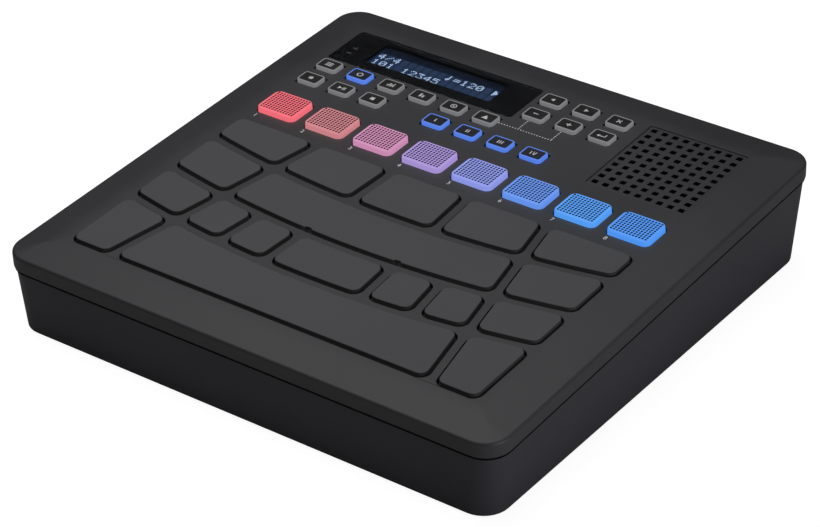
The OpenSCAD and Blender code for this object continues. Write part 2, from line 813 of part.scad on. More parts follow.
// Two round jacks and a flat socket on the main board, whose mouths show in the back wall
module rear_sockets() color("#17171a") {
    front = main_board_back - socket_len;
    for (x = jack_xs) difference() {
        union() {
            translate([x - jack_body / 2, front, board_top_z]) cube([jack_body, socket_len, jack_body]);
            rear_round(x, jack_dia, main_board_back - 1, socket_end_y);
        }
        rear_round(x, jack_bore, front + wall_t, rear_wall_y);
    }
    difference() {
        union() {
            translate([usb_x - usb_w / 2, front, board_top_z])
                cube([usb_w, socket_len, rear_z - board_top_z]);
            translate([usb_x - usb_w / 2, front, rear_z - usb_h / 2])
                cube([usb_w, socket_end_y - front, usb_h]);
        }
        translate([usb_x - usb_w / 2 + usb_shell_t, front + wall_t, rear_z - usb_h / 2 + usb_shell_t])
            cube([usb_w - 2 * usb_shell_t, rear_wall_y - front, usb_h - 2 * usb_shell_t]);
    }
}

module battery_pack() color("#3f4a52") {
    translate([-battery_w / 2, -battery_d / 2 - battery_front, floor_z])
        cube([battery_w, battery_d, battery_h]);
}

module rubber_feet() color("#161617") {
    for (p = foot_places) translate([p[0], p[1], 0]) cylinder(d = foot_dia, h = foot_h + foot_sink);
}

// Screws with their heads in the lower case's wells, pointing up into the lid's bosses
module case_screws() color("#9a9ca0") {
    for (p = screw_places) translate([p[0], p[1], seat_z(p[1])]) {
        translate([0, 0, -screw_head_h]) cylinder(d = screw_head_dia, h = screw_head_h);
        translate([0, 0, -thin]) cylinder(d = screw_dia, h = screw_len + thin);
    }
}

// Knob in its round pocket in the back wall, on a shaft that runs into the pot
module volume_knob() color("#1d1d1f") {
    rear_round(knob_x, knob_dia, pocket_floor_y + slide_clear, pocket_floor_y + slide_clear + knob_len);
    rear_round(knob_x, shaft_dia, pocket_back_y - pot_grip, pocket_floor_y + knob_len / 2);
}

// Round button in the back wall, held by a flange behind the wall
module power_button() color("#1d1d1f") {
    rear_round(power_x, power_dia, power_back_y, rear_wall_y + power_proud);
    rear_round(power_x, power_dia + 2 * power_lip, power_back_y, power_seat_y);
}

// A drum pad: its top through the lid, and a flange under it
module drum_pad(i) color("#48484a") {
    on_lid() {
        translate([0, 0, pad_foot_w]) {
            linear_extrude(pad_h - pad_foot_w) polygon(pad_outline(pads[i], 0));
            linear_extrude(pad_lip_t) polygon(pad_outline(pads[i], pad_gap + pad_lip));
        }
    }
}

// A key or colour pad: a leaning cap, a straight neck through the lid, and a flange under it
module push_cap(w, d, h, r, lean) {
    hull() {
        slab(w, d, r, -thin, 0);
        slab(w - lean, d - lean, r, h - lean, h - lean + thin);
        slab(w - 3 * lean, d - 3 * lean, r - lean / 2, h - thin, h);
    }
    slab(w, d, r, key_foot_w, 0);
    flange = 2 * (key_gap + key_lip);
    slab(w + flange, d + flange, key_lip, key_foot_w, key_foot_w + key_lip_t);
}

module colour_pad(i) {
    hue = i / (colour_count - 1);
    color([0.95 - 0.7 * hue, 0.36 + 0.23 * hue, 0.4 + 0.6 * hue])
        on_lid() translate(colour_places[i])
            push_cap(colour_w, colour_d, colour_h, colour_corner_r, colour_lean);
}

module key(i) color("#747476") {
    on_lid() translate(key_places[i]) push_cap(key_w, key_d, key_h, key_corner_r, key_lean);
}

upper_case();
lower_case();
display_window();
lcd_module();
speaker_driver();
speaker_cone();
pad_sensor_board();
panel_board();
main_board();
rear_sockets();
battery_pack();
rubber_feet();
case_screws();
volume_knob();
power_button();
for (i = [0:len(pads) - 1]) drum_pad(i);
for (i = [0:colour_count - 1]) colour_pad(i);
for (i = [0:len(keys) - 1]) key(i);
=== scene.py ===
import math

import bmesh
import bpy
from mathutils import Matrix, Vector


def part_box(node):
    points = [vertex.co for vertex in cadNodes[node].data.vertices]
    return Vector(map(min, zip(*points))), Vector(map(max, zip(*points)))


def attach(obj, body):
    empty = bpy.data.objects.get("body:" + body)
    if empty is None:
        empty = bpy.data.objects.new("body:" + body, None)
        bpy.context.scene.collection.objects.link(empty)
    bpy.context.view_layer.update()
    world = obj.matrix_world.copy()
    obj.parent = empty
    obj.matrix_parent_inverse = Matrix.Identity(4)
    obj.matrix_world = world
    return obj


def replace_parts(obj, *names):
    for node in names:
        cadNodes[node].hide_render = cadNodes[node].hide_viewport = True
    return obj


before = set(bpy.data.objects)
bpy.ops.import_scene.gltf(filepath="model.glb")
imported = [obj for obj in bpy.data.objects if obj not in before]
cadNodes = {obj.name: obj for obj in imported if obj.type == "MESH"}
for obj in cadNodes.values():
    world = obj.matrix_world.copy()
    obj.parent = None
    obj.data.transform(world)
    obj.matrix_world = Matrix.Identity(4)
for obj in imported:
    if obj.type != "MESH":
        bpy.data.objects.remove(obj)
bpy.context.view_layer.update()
scene = bpy.context.scene
print("frame loaded:", len(cadNodes), "CAD nodes")

# Sizes are millimetres, except in the studio, which is in metres. The lid's pieces are drawn in the lid's
# own frame, whose origin is the middle of its flat top, and are set into the world by onLid.
millimetre = Matrix.Scale(0.001, 4)
lid = {
    "width": 256.6, "depth": 255.2, "corner": 12, "tilt": 2.73, "y": -0.331, "z": 48,
    "plate": 2.2, "border": 16, "borderDrop": 2.6, "borderBlend": 4, "rimHeight": 7.4,
    "rimWall": 2, "rimRound": 1.5, "footRound": 0.35, "edgeRound": 0.3, "cornerSteps": 12, "blendSteps": 8,
    "rimAngles": (7.5, 20, 35, 50, 65, 80, 90), "footAngles": (30, 60, 90), "leastCorner": 1,
}
lidMiddle = Matrix.Translation((0, lid["y"], lid["z"]))
onLid = millimetre @ lidMiddle @ Matrix.Rotation(math.radians(lid["tilt"]), 4, "X")


def linear(hexColour):
    shades = []
    for start in (1, 3, 5):
        value = int(hexColour[start:start + 2], 16) / 255
        shades.append(value / 12.92 if value <= 0.04045 else ((value + 0.055) / 1.055) ** 2.4)
    return (*shades, 1)


# The same hue with each channel scaled down
def dimmed(hexColour, share):
    return "#" + "".join(f"{round(int(hexColour[start:start + 2], 16) * share):02X}" for start in (1, 3, 5))


def addNode(tree, kind, inputs):
    node = tree.nodes.new(kind)
    for name, value in inputs.items():
        if isinstance(value, bpy.types.NodeSocket):
            tree.links.new(value, node.inputs[name])
        else:
            node.inputs[name].default_value = value
    return node


def newMaterial(name, values={}):
    material = bpy.data.materials.new(name)
    material.use_nodes = True
    shader = material.node_tree.nodes["Principled BSDF"]
    for socket, value in values.items():
        shader.inputs[socket].default_value = value
    return material


# Gives a material a cloudy change of shade and gloss and a fine moulded grain, with sizes in millimetres
def addGrain(material, shades, roughness, cloudSize, grainSize, grainDepth):
    tree = material.node_tree
    shader = tree.nodes["Principled BSDF"]
    place = addNode(tree, "ShaderNodeTexCoord", {}).outputs["Object"]
    cloud = addNode(tree, "ShaderNodeTexNoise", {"Vector": place, "Scale": 1000 / cloudSize, "Detail": 4})
    ramp = addNode(tree, "ShaderNodeValToRGB", {"Fac": cloud.outputs["Fac"]})
    cloudRange = (0.3, 0.7)
    for element, position, shade in zip(ramp.color_ramp.elements, cloudRange, shades):
        element.position = position
        element.color = linear(shade)
    gloss = addNode(tree, "ShaderNodeMapRange", {
        "Value": cloud.outputs["Fac"], "From Min": cloudRange[0], "From Max": cloudRange[1],
        "To Min": roughness[0], "To Max": roughness[1],
    })
    grain = addNode(tree, "ShaderNodeTexNoise", {"Vector": place, "Scale": 1000 / grainSize, "Detail": 2})
    bump = addNode(tree, "ShaderNodeBump", {
        "Height": grain.outputs["Fac"], "Distance": grainDepth / 1000, "Strength": 1,
    })
    tree.links.new(ramp.outputs["Color"], shader.inputs["Base Color"])
    tree.links.new(gloss.outputs["Result"], shader.inputs["Roughness"])
    tree.links.new(bump.outputs["Normal"], shader.inputs["Normal"])
    return material


def roundedBox(width, depth, radius, centre=(0, 0), steps=6):
    points = []
    for quarter in range(4):
        signX = 1 if quarter in (0, 3) else -1
        signY = 1 if quarter < 2 else -1
        for step in range(steps + 1):
            angle = math.radians(90 * quarter + 90 * step / steps)
            points.append((
                centre[0] + signX * (width / 2 - radius) + radius * math.cos(angle),
                centre[1] + signY * (depth / 2 - radius) + radius * math.sin(angle),
            ))
    return points


# The rounded box of a piece's dictionary, moved out all round
def grownBox(spec, grow):
    middle = (spec["x"], spec["y"])
    return roundedBox(spec["width"] + 2 * grow, spec["depth"] + 2 * grow, spec["corner"] + grow, middle)


def circle(radius, steps, centre=(0, 0)):
    angles = [math.tau * step / steps for step in range(steps)]
    return [(centre[0] + radius * math.cos(a), centre[1] + radius * math.sin(a)) for a in angles]


# A mesh in the making; its layer marks faces that are shaded flat up to their edges
def newMesh():
    bm = bmesh.new()
    bm.faces.layers.int.new("flat")
    return bm


def ringEdges(bm, ring):
    return [bm.edges.get((a, b)) for a, b in zip(ring, ring[1:] + ring[:1])]


def addRing(bm, points, height):
    ring = [bm.verts.new((x, y, height)) for x, y in points]
    for a, b in zip(ring, ring[1:] + ring[:1]):
        bm.edges.new((a, b))
    return ring


def markFaces(bm, faces, flat, finish):
    layer = bm.faces.layers.int["flat"]
    for face in faces:
        face[layer] = 1 if flat else 0
        face.material_index = finish


# Extrudes a ring to new points at another height and gives back the new ring
def skirt(bm, ring, points, height, flat=False, finish=0):
    made = bmesh.ops.extrude_edge_only(bm, edges=ringEdges(bm, ring))["geom"]
    fresh = {item for item in made if isinstance(item, bmesh.types.BMVert)}
    markFaces(bm, [item for item in made if isinstance(item, bmesh.types.BMFace)], flat, finish)
    nextRing = []
    for vertex, (x, y) in zip(ring, points):
        twin = next(e.other_vert(vertex) for e in vertex.link_edges if e.other_vert(vertex) in fresh)
        twin.co = (x, y, height)
        nextRing.append(twin)
    return nextRing


# Skins a list of (points, height, flat) and gives back its first and last ring
def loft(bm, rings, finish=0):
    first = addRing(bm, *rings[0][:2])
    last = first
    for points, height, flat in rings[1:]:
        last = skirt(bm, last, points, height, flat, finish)
    return first, last


def capRing(bm, ring, finish=0):
    markFaces(bm, [bm.faces.new(ring)], True, finish)


# Skins a list of rings and closes both ends, the last one always with the first finish
def closedLoft(bm, rings, finish=0):
    first, last = loft(bm, rings, finish)
    capRing(bm, first, finish)
    capRing(bm, last)


# Fills the flat area inside the first ring and outside the others
def fillBetween(bm, rings):
    edges = [edge for ring in rings for edge in ringEdges(bm, ring)]
    made = bmesh.ops.triangle_fill(
        bm, use_beauty=True, use_dissolve=False, edges=edges, normal=(0, 0, 1)
    )["geom"]
    markFaces(bm, [item for item in made if isinstance(item, bmesh.types.BMFace)], True, 0)


# Rings of a quarter round from a level face down to an upright one; outline(grow) gives the points
def roundOver(outline, radius, top, outward, angles=(0, 22.5, 45, 67.5, 90)):
    rings = []
    for angle in angles:
        reach = radius * (1 - math.sin(math.radians(angle)))
        drop = radius * (1 - math.cos(math.radians(angle)))
        rings.append((outline(-reach if outward else reach), top - drop, False))
    return rings


# Turns a mesh in the making into a piece. Flat faces keep their own normal and lend it to the rounds
# beside them; with sharpAngle, edges over that many degrees stay sharp instead.
def makePiece(name, bm, place, body, materials, sharpAngle=None):
    bmesh.ops.recalc_face_normals(bm, faces=bm.faces[:])
    bm.transform(place)
    mesh = bpy.data.meshes.new(name)
    bm.to_mesh(mesh)
    bm.free()
    for material in materials:
        mesh.materials.append(material)
    mesh.shade_smooth()
    piece = bpy.data.objects.new(name, mesh)
    scene.collection.objects.link(piece)
    if sharpAngle is None:
        sums = {}
        for polygon, mark in zip(mesh.polygons, mesh.attributes["flat"].data):
            if mark.value:
                for index in polygon.vertices:
                    sums[index] = sums.get(index, Vector()) + polygon.normal
        normals = [sums[v.index].normalized() if v.index in sums else v.normal.copy() for v in mesh.vertices]
        mesh.normals_split_custom_set_from_vertices(normals)
    else:
        mesh.set_sharp_from_angle(angle=math.radians(sharpAngle))
        weighted = piece.modifiers.new("weightedNormals", "WEIGHTED_NORMAL")
        weighted.keep_sharp = True
        weighted.weight = 90
    mesh.attributes.remove(mesh.attributes["flat"])
    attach(piece, body)
    return piece


# Camera, fitted to the corners and rows of the photo
camera = {
    "place": (639.53, -892.65, 696.07), "turn": (58.155, 0.317, 35.554), "lens": 128.12, "sensor": 36,
    "clipEnd": 100,
}
cameraData = bpy.data.cameras.new("camera")
cameraData.sensor_fit = "HORIZONTAL"
cameraData.sensor_width = camera["sensor"]
cameraData.lens = camera["lens"]
cameraData.clip_end = camera["clipEnd"]
cameraObject = bpy.data.objects.new("camera", cameraData)
cameraObject.location = Vector(camera["place"]) / 1000
cameraObject.rotation_euler = [math.radians(angle) for angle in camera["turn"]]
scene.collection.objects.link(cameraObject)
scene.camera = cameraObject
scene.view_settings.view_transform = "Standard"

# The studio: white to the camera, dim to everything else, so that the black case stays dark
studio = {
    "worldLight": 0.01, "floorSize": 6, "floorGap": 0.00005, "floorGlow": 0.94, "floorShade": "#8A8A8A",
    "bounceShade": "#C8C8C8",
}
lamps = {
    "overhead": {"place": (-0.12, 0.01, 0.56), "aim": (-0.12, 0.01, 0), "size": 0.65, "power": 2.28},
    "rightSide": {"place": (1.15, -0.2, 0.12), "aim": (0, 0, 0.04), "size": 0.4, "power": 4.4},
}
world = bpy.data.worlds.new("studio")
scene.world = world
world.use_nodes = True
worldTree = world.node_tree
worldTree.nodes.clear()
seen = addNode(worldTree, "ShaderNodeLightPath", {}).outputs["Is Camera Ray"]
dim = addNode(worldTree, "ShaderNodeBackground", {"Strength": studio["worldLight"]})
bright = addNode(worldTree, "ShaderNodeBackground", {"Color": (1, 1, 1, 1)})
either = addNode(worldTree, "ShaderNodeMixShader", {0: seen, 1: dim.outputs[0], 2: bright.outputs[0]})
addNode(worldTree, "ShaderNodeOutputWorld", {"Surface": either.outputs[0]})
for name, lamp in lamps.items():
    data = bpy.data.lights.new(name, "AREA")
    data.size = lamp["size"]
    data.energy = lamp["power"]
    light = bpy.data.objects.new(name, data)
    light.location = lamp["place"]
    light.rotation_euler = (Vector(lamp["aim"]) - Vector(lamp["place"])).to_track_quat("-Z", "Y").to_euler()
    scene.collection.objects.link(light)

# Paper sweep: it glows white for the camera with a faint shadow, and throws little light back
floorMaterial = newMaterial("paperSweep", {"Roughness": 0.9})
floorTree = floorMaterial.node_tree
floorSeen = addNode(floorTree, "ShaderNodeLightPath", {}).outputs["Is Camera Ray"]
floorGlow = addNode(floorTree, "ShaderNodeEmission", {"Strength": studio["floorGlow"]})
floorLit = addNode(floorTree, "ShaderNodeBsdfDiffuse", {"Color": linear(studio["floorShade"])})
floorBounce = addNode(floorTree, "ShaderNodeBsdfDiffuse", {"Color": linear(studio["bounceShade"])})
floorSum = addNode(floorTree, "ShaderNodeAddShader", {0: floorGlow.outputs[0], 1: floorLit.outputs[0]})
floorMix = addNode(floorTree, "ShaderNodeMixShader", {
    0: floorSeen, 1: floorBounce.outputs[0], 2: floorSum.outputs[0],
})
floorTree.links.new(floorMix.outputs[0], floorTree.nodes["Material Output"].inputs["Surface"])
floorMesh = bpy.data.meshes.new("floor")
floorBm = bmesh.new()
floorPlace = Matrix.Translation((0, 0, -studio["floorGap"]))
bmesh.ops.create_grid(floorBm, x_segments=1, y_segments=1, size=studio["floorSize"] / 2, matrix=floorPlace)
floorBm.to_mesh(floorMesh)
floorBm.free()
floorMesh.materials.append(floorMaterial)
floor = bpy.data.objects.new("floor", floorMesh)
scene.collection.objects.link(floor)
print("camera, lights and floor set")

# Finishes
# Black ABS with a fine spark-eroded texture: matt, with soft broad highlights
lidPlastic = addGrain(newMaterial("sparkTexturedAbs"), ("#3A3A3D", "#3F3F42"), (0.5, 0.58), 60, 0.6, 0.02)
# The same ABS, a little rougher, on the tub below, painted a shade darker and bluer than the lid's as painted
# shade on its walls
tubShadedAbs = addGrain(newMaterial("blackAbsShaded"), ("#36353C", "#3B3A41"), (0.52, 0.6), 60, 0.6, 0.02)
# Dark grey silicone rubber of the pad tops: dull, with an even sheen
padTopSilicone = addGrain(newMaterial("padTopRubber"), ("#4F4F52", "#545457"), (0.68, 0.76), 40, 0.5, 0.015)
# The same rubber on the pad sides and the lower half of their rounded edge, painted darker as painted shade,
# so each pad has a dark outline
padSidePaintedShade = addGrain(newMaterial("padSideShadedRubber"), ("#38383A", "#3D3D3F"), (0.7, 0.8), 40, 0.5, 0.015)
# Milky grey silicone of the unlit keys with a faint glow painted in: painted light, so its sides are nearly
# as bright as its top
keySiliconePaintedGlow = addGrain(
    newMaterial("milkySiliconePaintedGlow", {"Emission Color": linear("#6D6D6F"), "Emission Strength": 1}),
    ("#5C5C5E", "#626264"), (0.45, 0.55), 8, 0.3, 0.01,
)
# The same silicone over a blue lamp: its sides glow
litSilicone = addGrain(
    newMaterial("litBlueSilicone", {"Emission Color": linear("#4E79DC"), "Emission Strength": 1}),
    ("#3A4560", "#404C68"), (0.45, 0.55), 8, 0.3, 0.01,
)
# Black printed film on the key tops, smoother than the silicone round it; the same finish paints the foot of
# each key's wall dark, as painted shade in the gap
keyFilmAndFootShade = addGrain(newMaterial("printedFilmAndFootShade"), ("#242426", "#29292B"), (0.35, 0.45), 5, 0.4, 0.004)
# The same film over a lamp: a little blue comes through; it also paints the foot of the lit key's wall dark,
# as painted shade
litFilmAndFootShade = addGrain(
    newMaterial("backlitFilmAndFootShade", {"Emission Color": linear("#030A18"), "Emission Strength": 1}),
    ("#242426", "#29292B"), (0.35, 0.45), 5, 0.4, 0.004,
)
# White screen ink: flat and dense
whiteInk = addGrain(newMaterial("whiteInk"), ("#E0E0E0", "#EAEAEA"), (0.6, 0.7), 2, 0.2, 0.002)
# Pale print of the two small marks behind the display window, with a dim, even glow painted in: painted light
markPaintedGlow = addGrain(
    newMaterial("markPrintPaintedGlow", {"Emission Color": linear("#5C5C5E"), "Emission Strength": 1}),
    ("#5A5A5C", "#606062"), (0.6, 0.7), 2, 0.2, 0.002,
)
print("finishes made")

# The fan of drum pads; each pad is a row, counted from the front, and the two fan lines beside it.
# The outermost lines are the straight sides of the fan.
drumPads = {
    "front": -106.4, "rowDepths": (26.4, 21.7, 24.3, 27.6), "rowGap": 5.8,
    "rowLines": ((-4, -3, 3, 4), (-4, -3, -2, -1, 1, 2, 3, 4), (-4, -3, 3, 4), (-4, -3, -1, 1, 3, 4)),
    "sideLine": 4, "halfWidth": 105.2, "apex": 337, "step": 3.55, "fanGap": 6, "arc": 488, "corner": 3.8,
    "cornerSteps": 8, "arcStep": 5, "settleSteps": 8, "height": 1.4, "edge": 0.5, "topRings": 3, "gap": 1.15,
    "lip": 0.9, "lipTop": -2.5, "lipFoot": -4, "notchRow": 2, "notchXs": (-23.6, 23.6), "notchWidth": 3.6,
    "notchDepth": 0.9, "notchSlope": 0.3,
}
rowFronts = []
rowBacks = []
rowEdge = drumPads["front"]
for depth in drumPads["rowDepths"]:
    rowFronts.append(rowEdge)
    rowBacks.append(rowEdge + depth)
    rowEdge += depth + drumPads["rowGap"]


def fanX(line, y, off):
    if abs(line) == drumPads["sideLine"]:
        return math.copysign(drumPads["halfWidth"], line) + off
    angle = math.radians(line * drumPads["step"])
    return (drumPads["apex"] - y) * math.tan(angle) + off / math.cos(angle)


def rowY(edge, bowed, x):
    return edge + (drumPads["arc"] - math.sqrt(drumPads["arc"] ** 2 - x ** 2) if bowed else 0)


def fanCorner(line, off, edge, bowed):
    y = edge
    for _ in range(drumPads["settleSteps"]):
        y = rowY(edge, bowed, fanX(line, y, off))
    return Vector((fanX(line, y, off), y))


def roundCorner(before, corner, after, radius, steps):
    a = (before - corner).normalized()
    b = (after - corner).normalized()
    half = math.acos(max(-1, min(1, a.dot(b)))) / 2
    middle = corner + (a + b).normalized() * radius / math.sin(half)
    start = corner + a * radius / math.tan(half) - middle
    turn = math.pi - 2 * half
    return [middle + Matrix.Rotation(turn * i / steps, 2) @ start for i in range(steps + 1)]


# Points along a bowed edge between two corners, clear of their rounds
def edgeRun(start, end, edge, bowed, count):
    if not bowed:
        return []
    inset = 2 * drumPads["corner"] * (1 if end.x > start.x else -1)
    xs = [start.x + inset + (end.x - start.x - 2 * inset) * i / count for i in range(count + 1)]
    return [Vector((x, rowY(edge, True, x))) for x in xs]


# Puts the two notches of the long pad into its front edge
def notchedRun(run, front, depth):
    half = drumPads["notchWidth"] / 2
    middles = drumPads["notchXs"]
    clear = half + drumPads["notchSlope"]
    points = [point for point in run if all(abs(point.x - x) > clear for x in middles)]
    for middle in middles:
        for side in (-1, 1):
            for reach, deep in ((half, 0), (half - drumPads["notchSlope"], depth)):
                x = middle + side * reach
                points.append(Vector((x, rowY(front, True, x) + deep)))
    return sorted(points, key=lambda point: point.x)


def padOutline(pad, grow, notch=None):
    row, left, right = pad
    front = rowFronts[row] - grow
    back = rowBacks[row] + grow
    frontBowed = row > 0
    backBowed = row < len(rowBacks) - 1
    leftOff = (0 if left == -drumPads["sideLine"] else drumPads["fanGap"] / 2) - grow
    rightOff = grow - (0 if right == drumPads["sideLine"] else drumPads["fanGap"] / 2)
    radius = drumPads["corner"] + grow
    steps = drumPads["cornerSteps"]
    frontLeft = fanCorner(left, leftOff, front, frontBowed)
    frontRight = fanCorner(right, rightOff, front, frontBowed)
    backRight = fanCorner(right, rightOff, back, backBowed)
    backLeft = fanCorner(left, leftOff, back, backBowed)
    span = fanX(right, rowFronts[row], 0) - fanX(left, rowFronts[row], 0)
    count = max(1, round(span / drumPads["arcStep"] - 2))
    frontRun = edgeRun(frontLeft, frontRight, front, frontBowed, count)
    if notch is not None and row == drumPads["notchRow"] and left < 0 < right:
        frontRun = notchedRun(frontRun, front, notch)
    backRun = edgeRun(backRight, backLeft, back, backBowed, count)
    points = roundCorner(backLeft, frontLeft, frontRun[0] if frontRun else frontRight, radius, steps)
    points += frontRun
    points += roundCorner(frontRun[-1] if frontRun else frontLeft, frontRight, backRight, radius, steps)
    points += roundCorner(frontRight, backRight, backRun[0] if backRun else backLeft, radius, steps)
    points += backRun
    points += roundCorner(backRun[-1] if backRun else backRight, backLeft, frontLeft, radius, steps)
    return [(point.x, point.y) for point in points]


padPlaces = []
for row, lines in enumerate(drumPads["rowLines"]):
    padPlaces += [(row, left, right) for left, right in zip(lines, lines[1:])]
for number, pad in enumerate(padPlaces, 1):
    bm = newMesh()
    outline = lambda grow: padOutline(pad, grow, drumPads["notchDepth"])
    rings = roundOver(outline, drumPads["edge"], drumPads["height"], True)
    flange = padOutline(pad, drumPads["gap"] + drumPads["lip"], 0)
    rings += [
        (outline(0), drumPads["lipTop"], True), (flange, drumPads["lipTop"], True),
        (flange, drumPads["lipFoot"], True),
    ]
    # The top and the upper half of its round keep the rubber's own shade; the rings below are painted darker
    # as painted shade
    topCount = drumPads["topRings"]
    top, side = loft(bm, rings[:topCount])
    for points, height, flat in rings[topCount:]:
        side = skirt(bm, side, points, height, flat, 1)
    capRing(bm, top)
    capRing(bm, side, 1)
    node = f"drum_pad_{number}"
    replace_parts(makePiece(f"drumPad_{number}", bm, onLid, node, [padTopSilicone, padSidePaintedShade]), node)
print("drum pads made:", len(padPlaces))

# Colour pads: lit silicone with a grid of small pits in the top
colourPads = {
    "width": 21.2, "depth": 17.55, "height": 2, "corner": 3.2, "lean": 0.15, "edge": 0.4, "pitch": 27.05,
    "x": 0.2, "y": 30.03, "gap": 0.5, "holeCorner": 3.2, "lip": 1.3, "lipTop": -2.5, "lipFoot": -3.7,
    "shadeBelow": -2.4, "pits": (12, 10), "pitPitch": (1.58, 1.515), "pitY": 0.25, "pitRadius": 0.6,
    "pitSides": 8, "pitDepth": 0.8, "pitEdge": 0.1, "pitNarrow": (0.92, 0.8), "glow": 0.93, "bodyShare": 0.55,
    "pitShadeShare": 0.04,
    "shades": ("#F06C79", "#CC8087", "#CA8AB2", "#A590D2", "#8B96E4", "#6492EA", "#529CF2", "#4E94F0"),
}
colourPlaces = []
for i in range(len(colourPads["shades"])):
    fromMiddle = i - (len(colourPads["shades"]) - 1) / 2
    colourPlaces.append((colourPads["x"] + fromMiddle * colourPads["pitch"], colourPads["y"]))
# What the caps of colour pads and keys share
caps = {"leastCorner": 0.4, "lipCorner": 0.8, "shadeRings": 4}


# Rings of a cap from its flange under the lid up to the inner edge of its round
def capRings(spec):
    outline = lambda grow: roundedBox(
        spec["width"] + 2 * grow, spec["depth"] + 2 * grow, max(spec["corner"] + grow, caps["leastCorner"])
    )
    lipWidth, lipDepth = [spec[side] + 2 * spec["lip"] for side in ("width", "depth")]
    lipOutline = roundedBox(lipWidth, lipDepth, caps["lipCorner"])
    leaning = lambda grow: outline(grow - spec["lean"])
    rings = [
        (lipOutline, spec["lipFoot"], False), (lipOutline, spec["lipTop"], True),
        (outline(0), spec["lipTop"], True), (outline(0), spec["shadeBelow"], True), (outline(0), 0, True),
    ]
    return rings + roundOver(leaning, spec["edge"], spec["height"], True)[::-1]


# Skins a cap; its flange and the foot of its wall, down in the lid's opening, take the dark finish as painted
# shade
def loftCap(bm, rings):
    shadeCount = caps["shadeRings"]
    foot, last = loft(bm, rings[:shadeCount], 1)
    for points, height, flat in rings[shadeCount:]:
        last = skirt(bm, last, points, height, flat)
    capRing(bm, foot, 1)
    return last


columns, rows = colourPads["pits"]
pitchX, pitchY = colourPads["pitPitch"]
narrowEdge, narrowFloor = colourPads["pitNarrow"]
padTop = colourPads["height"]
for number, (place, shade) in enumerate(zip(colourPlaces, colourPads["shades"]), 1):
    bm = newMesh()
    top = loftCap(bm, capRings(colourPads))
    pits = []
    for column in range(columns):
        for row in range(rows):
            pitX = (column - (columns - 1) / 2) * pitchX
            centre = (pitX, colourPads["pitY"] + (row - (rows - 1) / 2) * pitchY)
            pit = lambda share: circle(colourPads["pitRadius"] * share, colourPads["pitSides"], centre)
            mouth, floorRing = loft(bm, [
                (pit(1), padTop, False), (pit(narrowEdge), padTop - colourPads["pitEdge"], False),
                (pit(narrowFloor), padTop - colourPads["pitDepth"], False),
            ], 1)
            capRing(bm, floorRing, 1)
            pits.append(mouth)
    fillBetween(bm, [top] + pits)
    # Lit silicone: the body glows from below; the pits and the cap's foot are painted dark as painted shade
    # in the hollows
    glowing = newMaterial(f"litSilicone_{number}", {
        "Emission Color": linear(shade), "Emission Strength": colourPads["glow"],
    })
    bodyShade = dimmed(shade, colourPads["bodyShare"])
    pitShade = dimmed(shade, colourPads["pitShadeShare"])
    addGrain(glowing, (bodyShade, bodyShade), (0.5, 0.6), 8, 0.4, 0.01)
    pitPaintedShade = addGrain(newMaterial(f"pitPaintedShade_{number}"), (pitShade, pitShade), (0.6, 0.7), 4, 0.3, 0.004)
    node = f"colour_pad_{number}"
    at = onLid @ Matrix.Translation((*place, 0))
    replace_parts(makePiece(f"colourPad_{number}", bm, at, node, [glowing, pitPaintedShade]), node)
print("colour pads made:", len(colourPlaces))

# Function keys: a milky body, a printed black film on top, and a white sign on the film
keys = {
    "width": 11.5, "depth": 8.6, "height": 1.5, "corner": 1.8, "lean": 0.1, "edge": 0.35, "lip": 1.3,
    "lipTop": -2.5, "lipFoot": -3.7, "shadeBelow": -0.5, "x": -99.55, "y": 99.9, "columnPitch": 17.75,
    "rowPitch": 14.5, "gap": 0.5, "holeCorner": 0.5, "filmInset": 0.8, "filmCorner": 0.9, "filmSlope": 0.06,
    "filmSink": 0.06, "inkLift": 0.01, "inkHeight": 0.03, "signScale": 1.25, "lit": (8, 16, 17, 18, 19),
}
keyCells = [(column, row) for row in (0, 1) for column in (6, 7, 8)]
keyCells += [(column, 2) for column in range(6)] + [(column, 3) for column in (0, 1, 2, 4, 5, 6, 7)]
keyPlaces = [
    (keys["x"] + column * keys["columnPitch"], keys["y"] - row * keys["rowPitch"]) for column, row in keyCells
]
